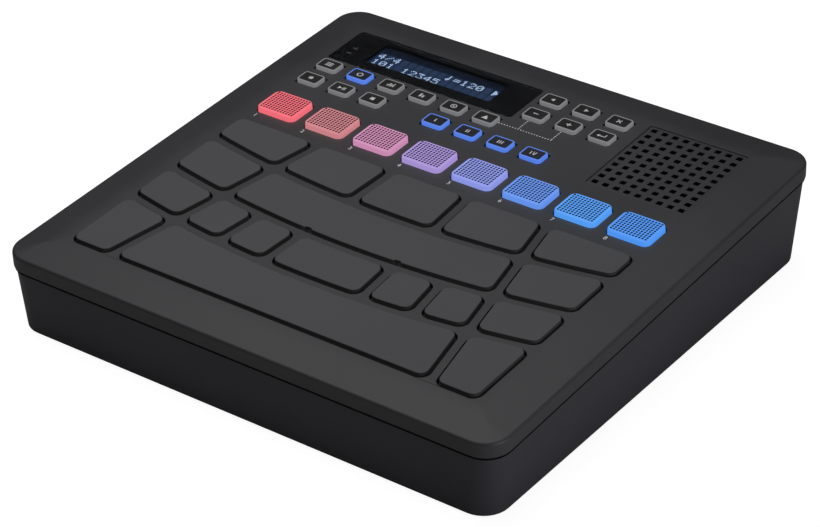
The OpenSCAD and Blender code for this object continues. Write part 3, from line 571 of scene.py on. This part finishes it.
# Signs on the keys: a bar is x, y, width, depth, turn; a disc is x, y, radius, sides, turn;
# a hoop is x, y, radius, width
keySigns = {
    1: [("disc", 0, 0, 1.1, 3, 180)],
    2: [("disc", 0, 0, 1.1, 3, 0)],
    3: [("bar", 0, 0, 2.6, 0.5, 45), ("bar", 0, 0, 2.6, 0.5, -45)],
    4: [("bar", 0, 0, 2.2, 0.5, 0)],
    5: [("bar", 0, 0, 2.2, 0.5, 0), ("bar", 0, 0, 0.5, 2.2, 0)],
    6: [
        ("bar", 0.3, -0.4, 2.6, 0.45, 0), ("bar", 1.4, 0.35, 0.45, 1.6, 0),
        ("disc", -1.3, -0.4, 0.9, 3, 180),
    ],
    7: [("bar", 0, 0.9, 3, 0.45, 0), ("bar", 0, 0, 3, 0.45, 0), ("bar", 0, -0.9, 3, 0.45, 0)],
    8: [("hoop", 0, 0, 1.3, 0.4)],
    9: [
        ("bar", -1.2, -0.5, 0.5, 1.2, 0), ("bar", -0.4, 0, 0.5, 2.2, 0),
        ("bar", 0.4, -0.25, 0.5, 1.7, 0), ("bar", 1.2, 0.15, 0.5, 2.5, 0),
    ],
    10: [("bar", -0.6, 0, 0.8, 2.4, 0), ("bar", 0.6, -0.4, 0.8, 1.6, 0)],
    11: [("hoop", 0, 0, 1.3, 0.35), ("disc", 0, 0, 0.5, 16, 0)],
    12: [("disc", 0, -0.2, 1.3, 3, 90), ("bar", 0, -1.1, 2.6, 0.4, 0)],
    13: [("disc", 0, 0, 1, 24, 0)],
    14: [("disc", -0.9, 0, 1, 3, 0), ("bar", 0.7, 0, 0.45, 1.8, 0), ("bar", 1.5, 0, 0.45, 1.8, 0)],
    15: [("bar", 0, 0, 1.8, 1.8, 0)],
    16: [("bar", 0, 0, 0.5, 2, 0)],
    17: [("bar", -0.45, 0, 0.45, 2, 0), ("bar", 0.45, 0, 0.45, 2, 0)],
    18: [("bar", -0.9, 0, 0.45, 2, 0), ("bar", 0, 0, 0.45, 2, 0), ("bar", 0.9, 0, 0.45, 2, 0)],
    19: [("bar", -1.1, 0, 0.45, 2, 0), ("bar", 0.1, 0, 0.4, 2.1, 14), ("bar", 0.75, 0, 0.4, 2.1, -14)],
}


# Lays the flat shapes of a sign at a height and gives them the thickness of ink
def addSign(bm, shapes, height, thickness, finish, scale=1):
    hoopSides = 32
    flats = []
    for kind, x, y, *size in shapes:
        at = Matrix.Translation((x, y, height))
        if kind == "bar":
            width, depth, turn = size
            at = at @ Matrix.Rotation(math.radians(turn), 4, "Z") @ Matrix.Diagonal((width, depth, 1, 1))
            verts = bmesh.ops.create_grid(bm, x_segments=1, y_segments=1, size=0.5, matrix=at)["verts"]
        elif kind == "disc":
            radius, sides, turn = size
            at = at @ Matrix.Rotation(math.radians(turn - 90), 4, "Z")
            made = bmesh.ops.create_circle(bm, cap_ends=True, segments=sides, radius=radius, matrix=at)
            verts = made["verts"]
        else:
            radius, width = size
            inner = bmesh.ops.create_circle(bm, segments=hoopSides, radius=radius - width, matrix=at)["verts"]
            outer = bmesh.ops.create_circle(bm, segments=hoopSides, radius=radius, matrix=at)["verts"]
            rims = {edge for vertex in inner + outer for edge in vertex.link_edges}
            bmesh.ops.bridge_loops(bm, edges=list(rims))
            verts = inner + outer
        flats += list({face for vertex in verts for face in vertex.link_faces})
    made = bmesh.ops.extrude_face_region(bm, geom=flats, use_keep_orig=True)["geom"]
    raised = [item for item in made if isinstance(item, bmesh.types.BMVert)]
    bmesh.ops.translate(bm, verts=raised, vec=(0, 0, thickness))
    faces = {face for vertex in raised for face in vertex.link_faces} | set(flats)
    ends = list({vertex for face in faces for vertex in face.verts})
    bmesh.ops.scale(bm, verts=ends, vec=(scale, scale, 1))
    markFaces(bm, faces, True, finish)


for number, place in enumerate(keyPlaces, 1):
    bm = newMesh()
    rings = capRings(keys)
    film = lambda inset: roundedBox(keys["width"] - 2 * inset, keys["depth"] - 2 * inset, keys["filmCorner"])
    rings.append((film(keys["filmInset"]), keys["height"], True))
    rings.append((film(keys["filmInset"] + keys["filmSlope"]), keys["height"] - keys["filmSink"], False))
    capRing(bm, loftCap(bm, rings), 1)
    signHeight = keys["height"] - keys["filmSink"] + keys["inkLift"]
    addSign(bm, keySigns[number], signHeight, keys["inkHeight"], 2, keys["signScale"])
    lit = number in keys["lit"]
    node = f"key_{number}"
    layers = [litSilicone, litFilmAndFootShade, whiteInk] if lit else [keySiliconePaintedGlow, keyFilmAndFootShade, whiteInk]
    at = onLid @ Matrix.Translation((*place, 0))
    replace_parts(makePiece(f"keyCap_{number}", bm, at, node, layers), node)
print("keys made:", len(keyPlaces))

# The lid: flat top, sloped border and rim in one skin, with every opening rounded at its edge
window = {
    "width": 103.8, "depth": 28.2, "corner": 1.6, "x": -54.5, "y": 92.5, "top": -0.15, "foot": -1.35,
    "clear": 0.2, "recessEdge": 0.2, "plateEdge": 0.15,
}
displayHole = {"x": -55.7, "y": 94.5, "width": 76.6, "depth": 21, "corner": 1}
# Each ring of a grille hole's rounded mouth is a growth and a depth
grille = {
    "width": 50.8, "depth": 55.7, "corner": 1, "edge": 0.15, "x": 80.5, "y": 79.15, "sink": 0.5, "hole": 2.9,
    "holeCorner": 0.3, "cornerSteps": 2, "mouth": ((0.12, 0), (0.03, 0.04), (0, 0.12)), "pitch": 5.52,
    "columns": 9, "rows": 10, "groove": 0.4, "grooveDepth": 0.6,
}


def lidRing(inset):
    radius = max(lid["corner"] - inset, lid["leastCorner"])
    return roundedBox(
        lid["width"] - 2 * inset, lid["depth"] - 2 * inset, radius, steps=lid["cornerSteps"]
    )


bm = newMesh()
slope = lid["borderDrop"] / (lid["border"] - lid["rimRound"])
blendFrom = lid["border"] + lid["borderBlend"]
rings = []
for step in range(lid["blendSteps"] + 1):
    way = 2 * lid["borderBlend"] * step / lid["blendSteps"]
    rings.append((lidRing(blendFrom - way), -slope * way ** 2 / (4 * lid["borderBlend"]), False))
rimTop = -lid["borderDrop"]
rimFoot = rimTop - lid["rimHeight"]
rimRings = roundOver(lambda grow: lidRing(-grow), lid["rimRound"], rimTop, True, lid["rimAngles"])
rings.append((*rimRings[0][:2], True))
rings += rimRings[1:]
rings.append((lidRing(0), rimFoot + lid["footRound"], True))
for angle in lid["footAngles"]:
    reach = lid["footRound"] * (1 - math.cos(math.radians(angle)))
    drop = lid["footRound"] * math.sin(math.radians(angle))
    rings.append((lidRing(reach), rimFoot + lid["footRound"] - drop, False))
underside = rimTop - lid["plate"]
rings += [
    (lidRing(lid["rimWall"]), rimFoot, True), (lidRing(lid["rimWall"]), underside - lid["rimRound"], True),
    (lidRing(lid["rimWall"] + lid["rimRound"]), underside, False), (lidRing(blendFrom), -lid["plate"], True),
]
topRing, plateRing = loft(bm, rings)
topHoles = [topRing]
plateHoles = [plateRing]

openings = [lambda grow, pad=pad: padOutline(pad, drumPads["gap"] + grow) for pad in padPlaces]
for spec, places in ((keys, keyPlaces), (colourPads, colourPlaces)):
    for place in places:
        openings.append(lambda grow, spec=spec, place=place: roundedBox(
            spec["width"] + 2 * spec["gap"] + 2 * grow, spec["depth"] + 2 * spec["gap"] + 2 * grow,
            spec["holeCorner"] + grow, place
        ))
# Each opening goes right through the plate and has its upper edge rounded
for outline in openings:
    rings = roundOver(outline, lid["edgeRound"], 0, False)
    mouth, end = loft(bm, rings + [(outline(0), -lid["plate"], True)])
    topHoles.append(mouth)
    plateHoles.append(end)

windowOutline = lambda grow: grownBox(window, window["clear"] + grow)
recess = roundOver(windowOutline, window["recessEdge"], 0, False)
recess.append((windowOutline(0), window["foot"], True))
mouth, seat = loft(bm, recess)
topHoles.append(mouth)
holeOutline = grownBox(displayHole, 0)
mouth, end = loft(bm, [(holeOutline, window["foot"], False), (holeOutline, -lid["plate"], True)])
fillBetween(bm, [seat, mouth])
plateHoles.append(end)

grilleOutline = lambda grow: grownBox(grille, grow)
seatInset = -grille["groove"]
grooveFoot = -grille["sink"] - grille["grooveDepth"]
recess = roundOver(grilleOutline, grille["edge"], 0, False)
recess += [
    (grilleOutline(0), grooveFoot, True), (grilleOutline(seatInset), grooveFoot, True),
    (grilleOutline(seatInset), -grille["sink"], True),
]
mouth, seat = loft(bm, recess)
topHoles.append(mouth)
seatHoles = [seat]
for column in range(grille["columns"]):
    for row in range(grille["rows"]):
        centre = (
            grille["x"] + (column - (grille["columns"] - 1) / 2) * grille["pitch"],
            grille["y"] + (row - (grille["rows"] - 1) / 2) * grille["pitch"],
        )
        square = lambda grow: roundedBox(
            grille["hole"] + 2 * grow, grille["hole"] + 2 * grow, grille["holeCorner"] + grow, centre,
            grille["cornerSteps"]
        )
        rings = [(square(grow), -grille["sink"] - drop, False) for grow, drop in grille["mouth"]]
        mouth, end = loft(bm, rings + [(square(0), -lid["plate"], True)])
        seatHoles.append(mouth)
        plateHoles.append(end)
fillBetween(bm, seatHoles)
fillBetween(bm, topHoles)
fillBetween(bm, plateHoles)
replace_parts(makePiece("lidShell", bm, onLid, "case", [lidPlastic]), "upper_case")

# Near-black strip in the parting line, just behind the foot of the rim, where there is only shade under the
# rim: painted shade, so it reads as a thin dark seam
seamStrip = {"inset": 0.35, "width": 1.4, "height": 1.1}
seamPaintedShade = addGrain(
    newMaterial("seamPaintedShade", {"Specular IOR Level": 0}), ("#141415", "#171718"), (0.85, 0.95), 5, 0.5, 0.02
)
bm = newMesh()
outer, inner = lidRing(seamStrip["inset"]), lidRing(seamStrip["inset"] + seamStrip["width"])
outerTop, outerFoot = loft(bm, [(outer, rimFoot, False), (outer, rimFoot - seamStrip["height"], True)])
innerTop, innerFoot = loft(bm, [(inner, rimFoot, False), (inner, rimFoot - seamStrip["height"], True)])
fillBetween(bm, [outerTop, innerTop])
fillBetween(bm, [outerFoot, innerFoot])
makePiece("partingSeamShade", bm, onLid, "case", [seamPaintedShade], sharpAngle=30)
print("lid made")

# Display: an acrylic window, a black mask printed on its back, and the lit screen below the mask's opening
screen = {
    "x": -54.5, "y": 94.3, "width": 69.6, "depth": 16.8, "top": -2.2, "thickness": 0.07, "maskFoot": -1.34,
    "maskTop": -1.3, "plateFoot": -1.25, "firstColumn": -87.5, "columnPitch": 4.3, "lineYs": (94.3, 88.7),
    "columns": 16, "dotPitch": (0.7, 0.64), "dot": 0.58, "dotLift": 0.03, "dotThickness": 0.02,
    "cellDots": (5, 8), "middleDot": (2, 3), "cellLift": 0.005, "cellThickness": 0.01,
    "lines": ("4/4      n=120 p", "101 12345"),
    "maskInset": 0.2, "maskClear": 0.3, "maskCorner": 0.8, "maskCornerSteps": 4, "markLift": 0.005,
    "markThickness": 0.01, "marks": [("bar", -100.6, 87.4, 2.6, 1, 0), ("bar", -100.2, 92.1, 2.6, 1, 0)],
    "shadeFrom": 85.5, "shadeTo": 102.5,
}
# Smoked acrylic: clear, dark and glossy
acrylic = newMaterial("smokedAcrylic", {
    "Base Color": linear("#C6C8CC"), "Transmission Weight": 1, "IOR": 1.49, "Roughness": 0.02,
})
# Black ink on the back of the window, which hides all but the screen
maskInk = addGrain(newMaterial("maskInk"), ("#38383A", "#3C3C3E"), (0.4, 0.5), 20, 0.5, 0.002)
# Blue backlight behind the liquid crystal, painted dimmer towards the back as painted shade under the
# window's back edge
shadedBacklight = newMaterial("lcdBacklightShaded", {"Base Color": linear("#0A1020"), "Emission Strength": 1})
tree = shadedBacklight.node_tree
place = addNode(tree, "ShaderNodeTexCoord", {}).outputs["Object"]
depthWay = addNode(tree, "ShaderNodeSeparateXYZ", {"Vector": place}).outputs["Y"]
ramp = addNode(tree, "ShaderNodeValToRGB", {"Fac": addNode(tree, "ShaderNodeMapRange", {
    "Value": depthWay, "From Min": screen["shadeFrom"] / 1000, "From Max": screen["shadeTo"] / 1000,
}).outputs["Result"]})
for element, shade in zip(ramp.color_ramp.elements, ("#223656", "#12161F")):
    element.color = linear(shade)
tree.links.new(ramp.outputs["Color"], tree.nodes["Principled BSDF"].inputs["Emission Color"])
# Character cells, a shade lighter than the ground
cellGlow = newMaterial("lcdCell", {
    "Base Color": linear("#0A1020"), "Emission Color": linear("#3A4D6E"), "Emission Strength": 1,
})
# Lit dots: pale blue and even
dotGlow = newMaterial("lcdDot", {
    "Base Color": linear("#0A1020"), "Emission Color": linear("#B4CCEA"), "Emission Strength": 1.9,
})
# Five by seven dot characters; n is a note and p a play sign
characters = {
    "0": "01110 10001 10011 10101 11001 10001 01110", "1": "00100 01100 00100 00100 00100 00100 01110",
    "2": "01110 10001 00001 00010 00100 01000 11111", "3": "11111 00010 00100 00010 00001 10001 01110",
    "4": "00010 00110 01010 10010 11111 00010 00010", "5": "11111 10000 11110 00001 00001 10001 01110",
    "/": "00000 00001 00010 00100 01000 10000 00000", "=": "00000 00000 11111 00000 11111 00000 00000",
    "n": "00100 00100 00100 00100 01100 11100 01000", "p": "01000 01100 01110 01111 01110 01100 01000",
}

bm = newMesh()
plateOutline = lambda grow: grownBox(window, grow)
rings = roundOver(plateOutline, window["plateEdge"], window["top"], True)
closedLoft(bm, rings + [(plateOutline(0), screen["plateFoot"], True)])
plate = makePiece("displayWindow", bm, onLid, "case", [acrylic], sharpAngle=30)
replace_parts(plate, "display_window")

bm = newMesh()
litWidth, litDepth = [screen[side] + 2 * screen["maskClear"] for side in ("width", "depth")]
litMiddle = (screen["x"], screen["y"])
litArea = roundedBox(litWidth, litDepth, screen["maskCorner"], litMiddle, screen["maskCornerSteps"])
maskArea = plateOutline(-screen["maskInset"])
outerTop, outerFoot = loft(bm, [(maskArea, screen["maskTop"], False), (maskArea, screen["maskFoot"], True)])
innerTop, innerFoot = loft(bm, [(litArea, screen["maskTop"], False), (litArea, screen["maskFoot"], True)])
fillBetween(bm, [outerTop, innerTop])
fillBetween(bm, [outerFoot, innerFoot])
markHeight = screen["maskTop"] + screen["markLift"]
addSign(bm, screen["marks"], markHeight, screen["markThickness"], 1)
makePiece("displayMask", bm, onLid, "case", [maskInk, markPaintedGlow], sharpAngle=30)


# Adds a box given by its middle and its size
def addBlock(bm, centre, size, finish=0):
    at = Matrix.Translation(centre) @ Matrix.Diagonal((*size, 1))
    verts = bmesh.ops.create_cube(bm, size=1, matrix=at)["verts"]
    markFaces(bm, {face for vertex in verts for face in vertex.link_faces}, True, finish)


bm = newMesh()
screenMiddle = (*litMiddle, screen["top"] - screen["thickness"] / 2)
addBlock(bm, screenMiddle, (screen["width"], screen["depth"], screen["thickness"]))
makePiece("displayScreen", bm, onLid, "case", [shadedBacklight], sharpAngle=30)

bm = newMesh()
dotWidth, dotDepth = screen["dotPitch"]
dotsAcross, dotsDeep = screen["cellDots"]
middleColumn, middleRow = screen["middleDot"]
cellSize = (dotsAcross * dotWidth, dotsDeep * dotDepth, screen["cellThickness"])
dotSize = (screen["dot"], screen["dot"], screen["dotThickness"])
for line, y in zip(screen["lines"], screen["lineYs"]):
    for column in range(screen["columns"]):
        x = screen["firstColumn"] + column * screen["columnPitch"]
        addBlock(bm, (x + middleColumn * dotWidth, y, screen["top"] + screen["cellLift"]), cellSize, 0)
        pattern = characters.get(line[column]) if column < len(line) else None
        for row, dots in enumerate(pattern.split() if pattern else []):
            for place, dot in enumerate(dots):
                if dot == "1":
                    dotY = y + (middleRow - row) * dotDepth
                    addBlock(bm, (x + place * dotWidth, dotY, screen["top"] + screen["dotLift"]), dotSize, 1)
makePiece("displayDots", bm, onLid, "case", [cellGlow, dotGlow], sharpAngle=30)
print("display made")

# Print on the lid: numbers beside the colour pads, and dotted guide lines by the keys
lidPrint = {
    "numberHeight": 2.4, "fontShare": 1.4, "bold": 0.02, "numberX": -8.05, "numberY": -12.2, "ink": 0.02,
    "lift": 0.01, "dot": 0.36, "dotSides": 8, "dotPitch": 1.5,
    "guides": (((-4.1, 71.7), (23.9, 71.7)), ((6.1, 72.7), (6.1, 79.7)), ((23.9, 72.7), (23.9, 79.7))),
}
bm = newMesh()
for number, (x, y) in enumerate(colourPlaces, 1):
    curve = bpy.data.curves.new("number", "FONT")
    curve.body = str(number)
    curve.size = lidPrint["numberHeight"] * lidPrint["fontShare"]
    curve.align_x = "CENTER"
    curve.align_y = "CENTER"
    curve.extrude = lidPrint["ink"] / 2
    curve.offset = lidPrint["bold"]
    writer = bpy.data.objects.new("number", curve)
    scene.collection.objects.link(writer)
    written = writer.evaluated_get(bpy.context.evaluated_depsgraph_get())
    numberMesh = bpy.data.meshes.new_from_object(written)
    inkMiddle = lidPrint["lift"] + lidPrint["ink"] / 2
    numberMesh.transform(Matrix.Translation((x + lidPrint["numberX"], y + lidPrint["numberY"], inkMiddle)))
    bm.from_mesh(numberMesh)
    bpy.data.objects.remove(writer)
dotSigns = []
for (x0, y0), (x1, y1) in lidPrint["guides"]:
    count = round(math.hypot(x1 - x0, y1 - y0) / lidPrint["dotPitch"])
    for i in range(count + 1):
        x, y = x0 + (x1 - x0) * i / count, y0 + (y1 - y0) * i / count
        dotSigns.append(("disc", x, y, lidPrint["dot"], lidPrint["dotSides"], 0))
addSign(bm, dotSigns, lidPrint["lift"], lidPrint["ink"], 0)
makePiece("lidPrint", bm, onLid, "case", [whiteInk], sharpAngle=30)
print("lid print made")

# The tub: the CAD solid with its underside a little lower, its bottom edge rounded and its corners smooth
tub = {
    "halfWidth": 125.3, "halfDepth": 124.6, "corner": 12, "cornerNear": 0.3, "foot": 1.8, "footNear": 0.05,
    "lower": 0.7, "edge": 0.6, "edgeSteps": 3, "weld": 1e-6, "flatAngle": 0.2,
}
bm = bmesh.new()
bm.from_mesh(cadNodes["lower_case"].data)
bm.faces.layers.int.new("flat")
bmesh.ops.remove_doubles(bm, verts=bm.verts[:], dist=tub["weld"])
flatLimit = math.radians(tub["flatAngle"])
bmesh.ops.dissolve_limit(bm, angle_limit=flatLimit, verts=bm.verts[:], edges=bm.edges[:])
for vertex in bm.verts:
    if abs(vertex.co.z * 1000 - tub["foot"]) < tub["footNear"]:
        vertex.co.z -= tub["lower"] / 1000
rimEdges = []
for edge in bm.edges:
    middle = (edge.verts[0].co + edge.verts[1].co) / 2 * 1000
    overX = max(abs(middle.x) - tub["halfWidth"] + tub["corner"], 0)
    overY = max(abs(middle.y) - tub["halfDepth"] + tub["corner"], 0)
    atFoot = abs(middle.z - tub["foot"] + tub["lower"]) < tub["footNear"]
    if atFoot and math.hypot(overX, overY) > tub["corner"] - tub["cornerNear"]:
        rimEdges.append(edge)
bmesh.ops.bevel(
    bm, geom=rimEdges, offset=tub["edge"] / 1000, affect="EDGES", segments=tub["edgeSteps"], profile=0.5,
    material=-1
)
shellPlace = Matrix.Identity(4)
lowerShell = makePiece("lowerShell", bm, shellPlace, "case", [tubShadedAbs], sharpAngle=30)
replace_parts(lowerShell, "lower_case")
print("tub made, rounded edges:", len(rimEdges))

# Back wall: pieces are drawn with their own Z along the world's Y
backWall = {"z": 19, "roundSteps": 40, "inkLift": 0.01, "ink": 0.03}
# Black ABS with a satin polish, for pieces that fingers turn and press
knobPlastic = addGrain(newMaterial("satinAbs"), ("#1F1F21", "#242426"), (0.35, 0.42), 10, 0.5, 0.004)
# Black glass-filled nylon of the socket bodies
socketPlastic = addGrain(newMaterial("filledNylon"), ("#151517", "#1A1A1C"), (0.5, 0.6), 6, 0.4, 0.01)
# Nickel plate: bright and slightly brushed
nickel = addGrain(
    newMaterial("nickelPlate", {"Metallic": 1}), ("#B9B6B0", "#C4C1BA"), (0.22, 0.32), 4, 0.3, 0.002
)


def onRear(x):
    return millimetre @ Matrix.Translation((x, 0, backWall["z"])) @ Matrix.Rotation(math.radians(-90), 4, "X")


# Each ring of the knob's profile is an inset, a ridge depth, a distance from the knob's end and a flat mark
volume = {
    "x": -62, "radius": 7, "ridges": 30, "ridgeSteps": 6, "shaftRadius": 3, "shaftSteps": 32,
    "shaftReach": 4.5, "profile": (
        (0.3, 0.35, 5, False), (0, 0.35, 4.7, False), (0, 0.35, 0.9, True), (0.15, 0.35, 0.5, False),
        (0.5, 0.175, 0.15, False), (1, 0, 0, False),
    ),
    "mark": [("bar", 0, -3.6, 0.7, 3, 0)],
}


def ridged(radius, depth):
    steps = volume["ridges"] * volume["ridgeSteps"]
    points = []
    for step in range(steps):
        angle = math.tau * step / steps
        reach = radius - depth * (1 - math.cos(volume["ridges"] * angle)) / 2
        points.append((reach * math.cos(angle), reach * math.sin(angle)))
    return points


shaftEnd, knobEnd = [corner.y * 1000 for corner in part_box("volume_knob")]
bm = newMesh()
rings = []
for inset, ridge, back, flat in volume["profile"]:
    rings.append((ridged(volume["radius"] - inset, ridge), knobEnd - back, flat))
closedLoft(bm, rings)
shaft = circle(volume["shaftRadius"], volume["shaftSteps"])
closedLoft(bm, [(shaft, shaftEnd, False), (shaft, knobEnd - volume["shaftReach"], True)])
addSign(bm, volume["mark"], knobEnd + backWall["inkLift"], backWall["ink"], 1)
satinFinishes = [knobPlastic, whiteInk]
at = onRear(volume["x"])
knob = makePiece("volumeKnob", bm, at, "volume_knob", satinFinishes, sharpAngle=35)
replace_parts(knob, "volume_knob")

power = {
    "x": -84, "radius": 4.5, "edge": 0.5, "lip": 1.5, "lipLength": 1.2,
    "sign": [("hoop", 0, 0, 1.7, 0.4), ("bar", 0, -1.3, 0.4, 1.8, 0)],
}
lipBack, powerEnd = [corner.y * 1000 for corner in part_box("power_button")]
bm = newMesh()
outline = lambda grow: circle(power["radius"] + grow, backWall["roundSteps"])
lipOutline = outline(power["lip"])
lipFront = lipBack + power["lipLength"]
rings = [(lipOutline, lipBack, False), (lipOutline, lipFront, True), (outline(0), lipFront, True)]
closedLoft(bm, rings + roundOver(outline, power["edge"], powerEnd, True)[::-1])
addSign(bm, power["sign"], powerEnd + backWall["inkLift"], backWall["ink"], 1)
at = onRear(power["x"])
button = makePiece("powerButton", bm, at, "power_button", satinFinishes, sharpAngle=35)
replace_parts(button, "power_button")

sockets = {
    "length": 13, "jackXs": (-30, -14), "jackBody": 12, "nozzle": 3.5, "nozzleSink": 0.5, "nozzleEdge": 0.3,
    "bore": 1.8, "boreEdge": 0.25, "boreFoot": 0.3, "dataX": 16, "dataWidth": 9, "dataHeight": 3.4,
    "dataCorner": 1.4, "dataShell": 0.4, "dataEdge": 0.1, "dataFoot": 2, "tongue": (6.4, 0.7), "tongueGap": 1,
}
socketFront, socketEnd = [corner.y * 1000 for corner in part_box("rear_sockets")]
bm = newMesh()
socketBack = socketFront + sockets["length"]
socketMiddle = (socketFront + socketBack) / 2
side = sockets["jackBody"]
outer, outerEdge, bore, boreEdge = [sockets[key] for key in ("nozzle", "nozzleEdge", "bore", "boreEdge")]
for x in sockets["jackXs"]:
    addBlock(bm, (x, 0, socketMiddle), (side, side, sockets["length"]))
    nozzle = lambda radius: circle(radius, backWall["roundSteps"], (x, 0))
    closedLoft(bm, [
        (nozzle(outer), socketBack - sockets["nozzleSink"], False),
        (nozzle(outer), socketEnd - outerEdge, True), (nozzle(outer - outerEdge), socketEnd, False),
        (nozzle(bore + boreEdge), socketEnd, True), (nozzle(bore), socketEnd - boreEdge, False),
        (nozzle(bore), socketBack + sockets["boreFoot"], True),
    ], 1)
x = sockets["dataX"]
low = (side - sockets["dataHeight"]) / 2
addBlock(bm, (x, side / 2 - low / 2, socketMiddle), (sockets["dataWidth"], low, sockets["length"]))
shell = lambda grow: roundedBox(
    sockets["dataWidth"] + 2 * grow, sockets["dataHeight"] + 2 * grow, sockets["dataCorner"] + grow, (x, 0)
)
shellEdge = sockets["dataEdge"]
shellInside = shell(-sockets["dataShell"])
dataFoot = socketBack - sockets["dataFoot"]
tongueEnd = socketEnd - sockets["tongueGap"]
closedLoft(bm, [
    (shell(0), socketFront, False), (shell(0), socketEnd - shellEdge, True),
    (shell(-shellEdge), socketEnd, False), (shellInside, socketEnd, True), (shellInside, dataFoot, True),
], 1)
addBlock(bm, (x, 0, (dataFoot + tongueEnd) / 2), (*sockets["tongue"], tongueEnd - dataFoot))
socketFinishes = [socketPlastic, nickel]
rear = makePiece("rearSockets", bm, onRear(0), "case", socketFinishes, sharpAngle=35)
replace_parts(rear, "rear_sockets")
print("back wall pieces made")

# Feet: low rubber discs with a rounded edge, set into the underside
feet = {"x": 103.3, "y": 102.6, "radius": 7.5, "steps": 48, "edge": 0.5, "height": 2.6}
# Black nitrile rubber: dull and slightly grey
footRubber = addGrain(newMaterial("nitrileRubber"), ("#19191A", "#1F1F20"), (0.75, 0.85), 5, 0.5, 0.02)
bm = newMesh()
for x in (-feet["x"], feet["x"]):
    for y in (-feet["y"], feet["y"]):
        disc = lambda grow: circle(feet["radius"] + grow, feet["steps"], (x, y))
        rings = [(points, -height, flat) for points, height, flat in roundOver(disc, feet["edge"], 0, True)]
        closedLoft(bm, rings + [(disc(0), feet["height"], True)])
rubberFeet = makePiece("rubberFeet", bm, millimetre, "case", [footRubber], sharpAngle=35)
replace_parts(rubberFeet, "rubber_feet")
print("feet made")

# Pieces inside the case keep their CAD shape
# Painted tin frame of the display
tinFrame = addGrain(newMaterial("paintedTin"), ("#1A1C20", "#202226"), (0.4, 0.5), 5, 0.3, 0.004)
# Near-black enamel on the pressed steel basket, kept dark so the grille holes read black: painted shade
# inside the grille
basketPaintedShade = addGrain(newMaterial("basketPaintedShade"), ("#0C0C0D", "#111112"), (0.5, 0.6), 5, 0.4, 0.004)
# Black paper pulp of the cone
conePaper = addGrain(newMaterial("pulpPaper"), ("#0E0E0F", "#141415"), (0.85, 0.95), 3, 0.5, 0.04)
# Green solder mask on glass laminate
solderMask = addGrain(newMaterial("solderMask"), ("#1B4630", "#235238"), (0.3, 0.4), 12, 0.8, 0.01)
# Blue-grey shrink wrap round the cells
shrinkWrap = addGrain(newMaterial("shrinkWrap"), ("#39444C", "#455058"), (0.25, 0.35), 10, 2, 0.05)
# Blackened screw steel
screwSteel = addGrain(
    newMaterial("screwSteel", {"Metallic": 1}), ("#75767A", "#86878B"), (0.3, 0.4), 3, 0.3, 0.004
)
insideFinishes = {
    "lcd_module": tinFrame, "speaker_driver": basketPaintedShade, "speaker_cone": conePaper,
    "pad_sensor_board": solderMask, "panel_board": solderMask, "main_board": solderMask,
    "battery_pack": shrinkWrap, "case_screws": screwSteel,
}
for name, finish in insideFinishes.items():
    cadNodes[name].data.materials.clear()
    cadNodes[name].data.materials.append(finish)
print("inside pieces finished")
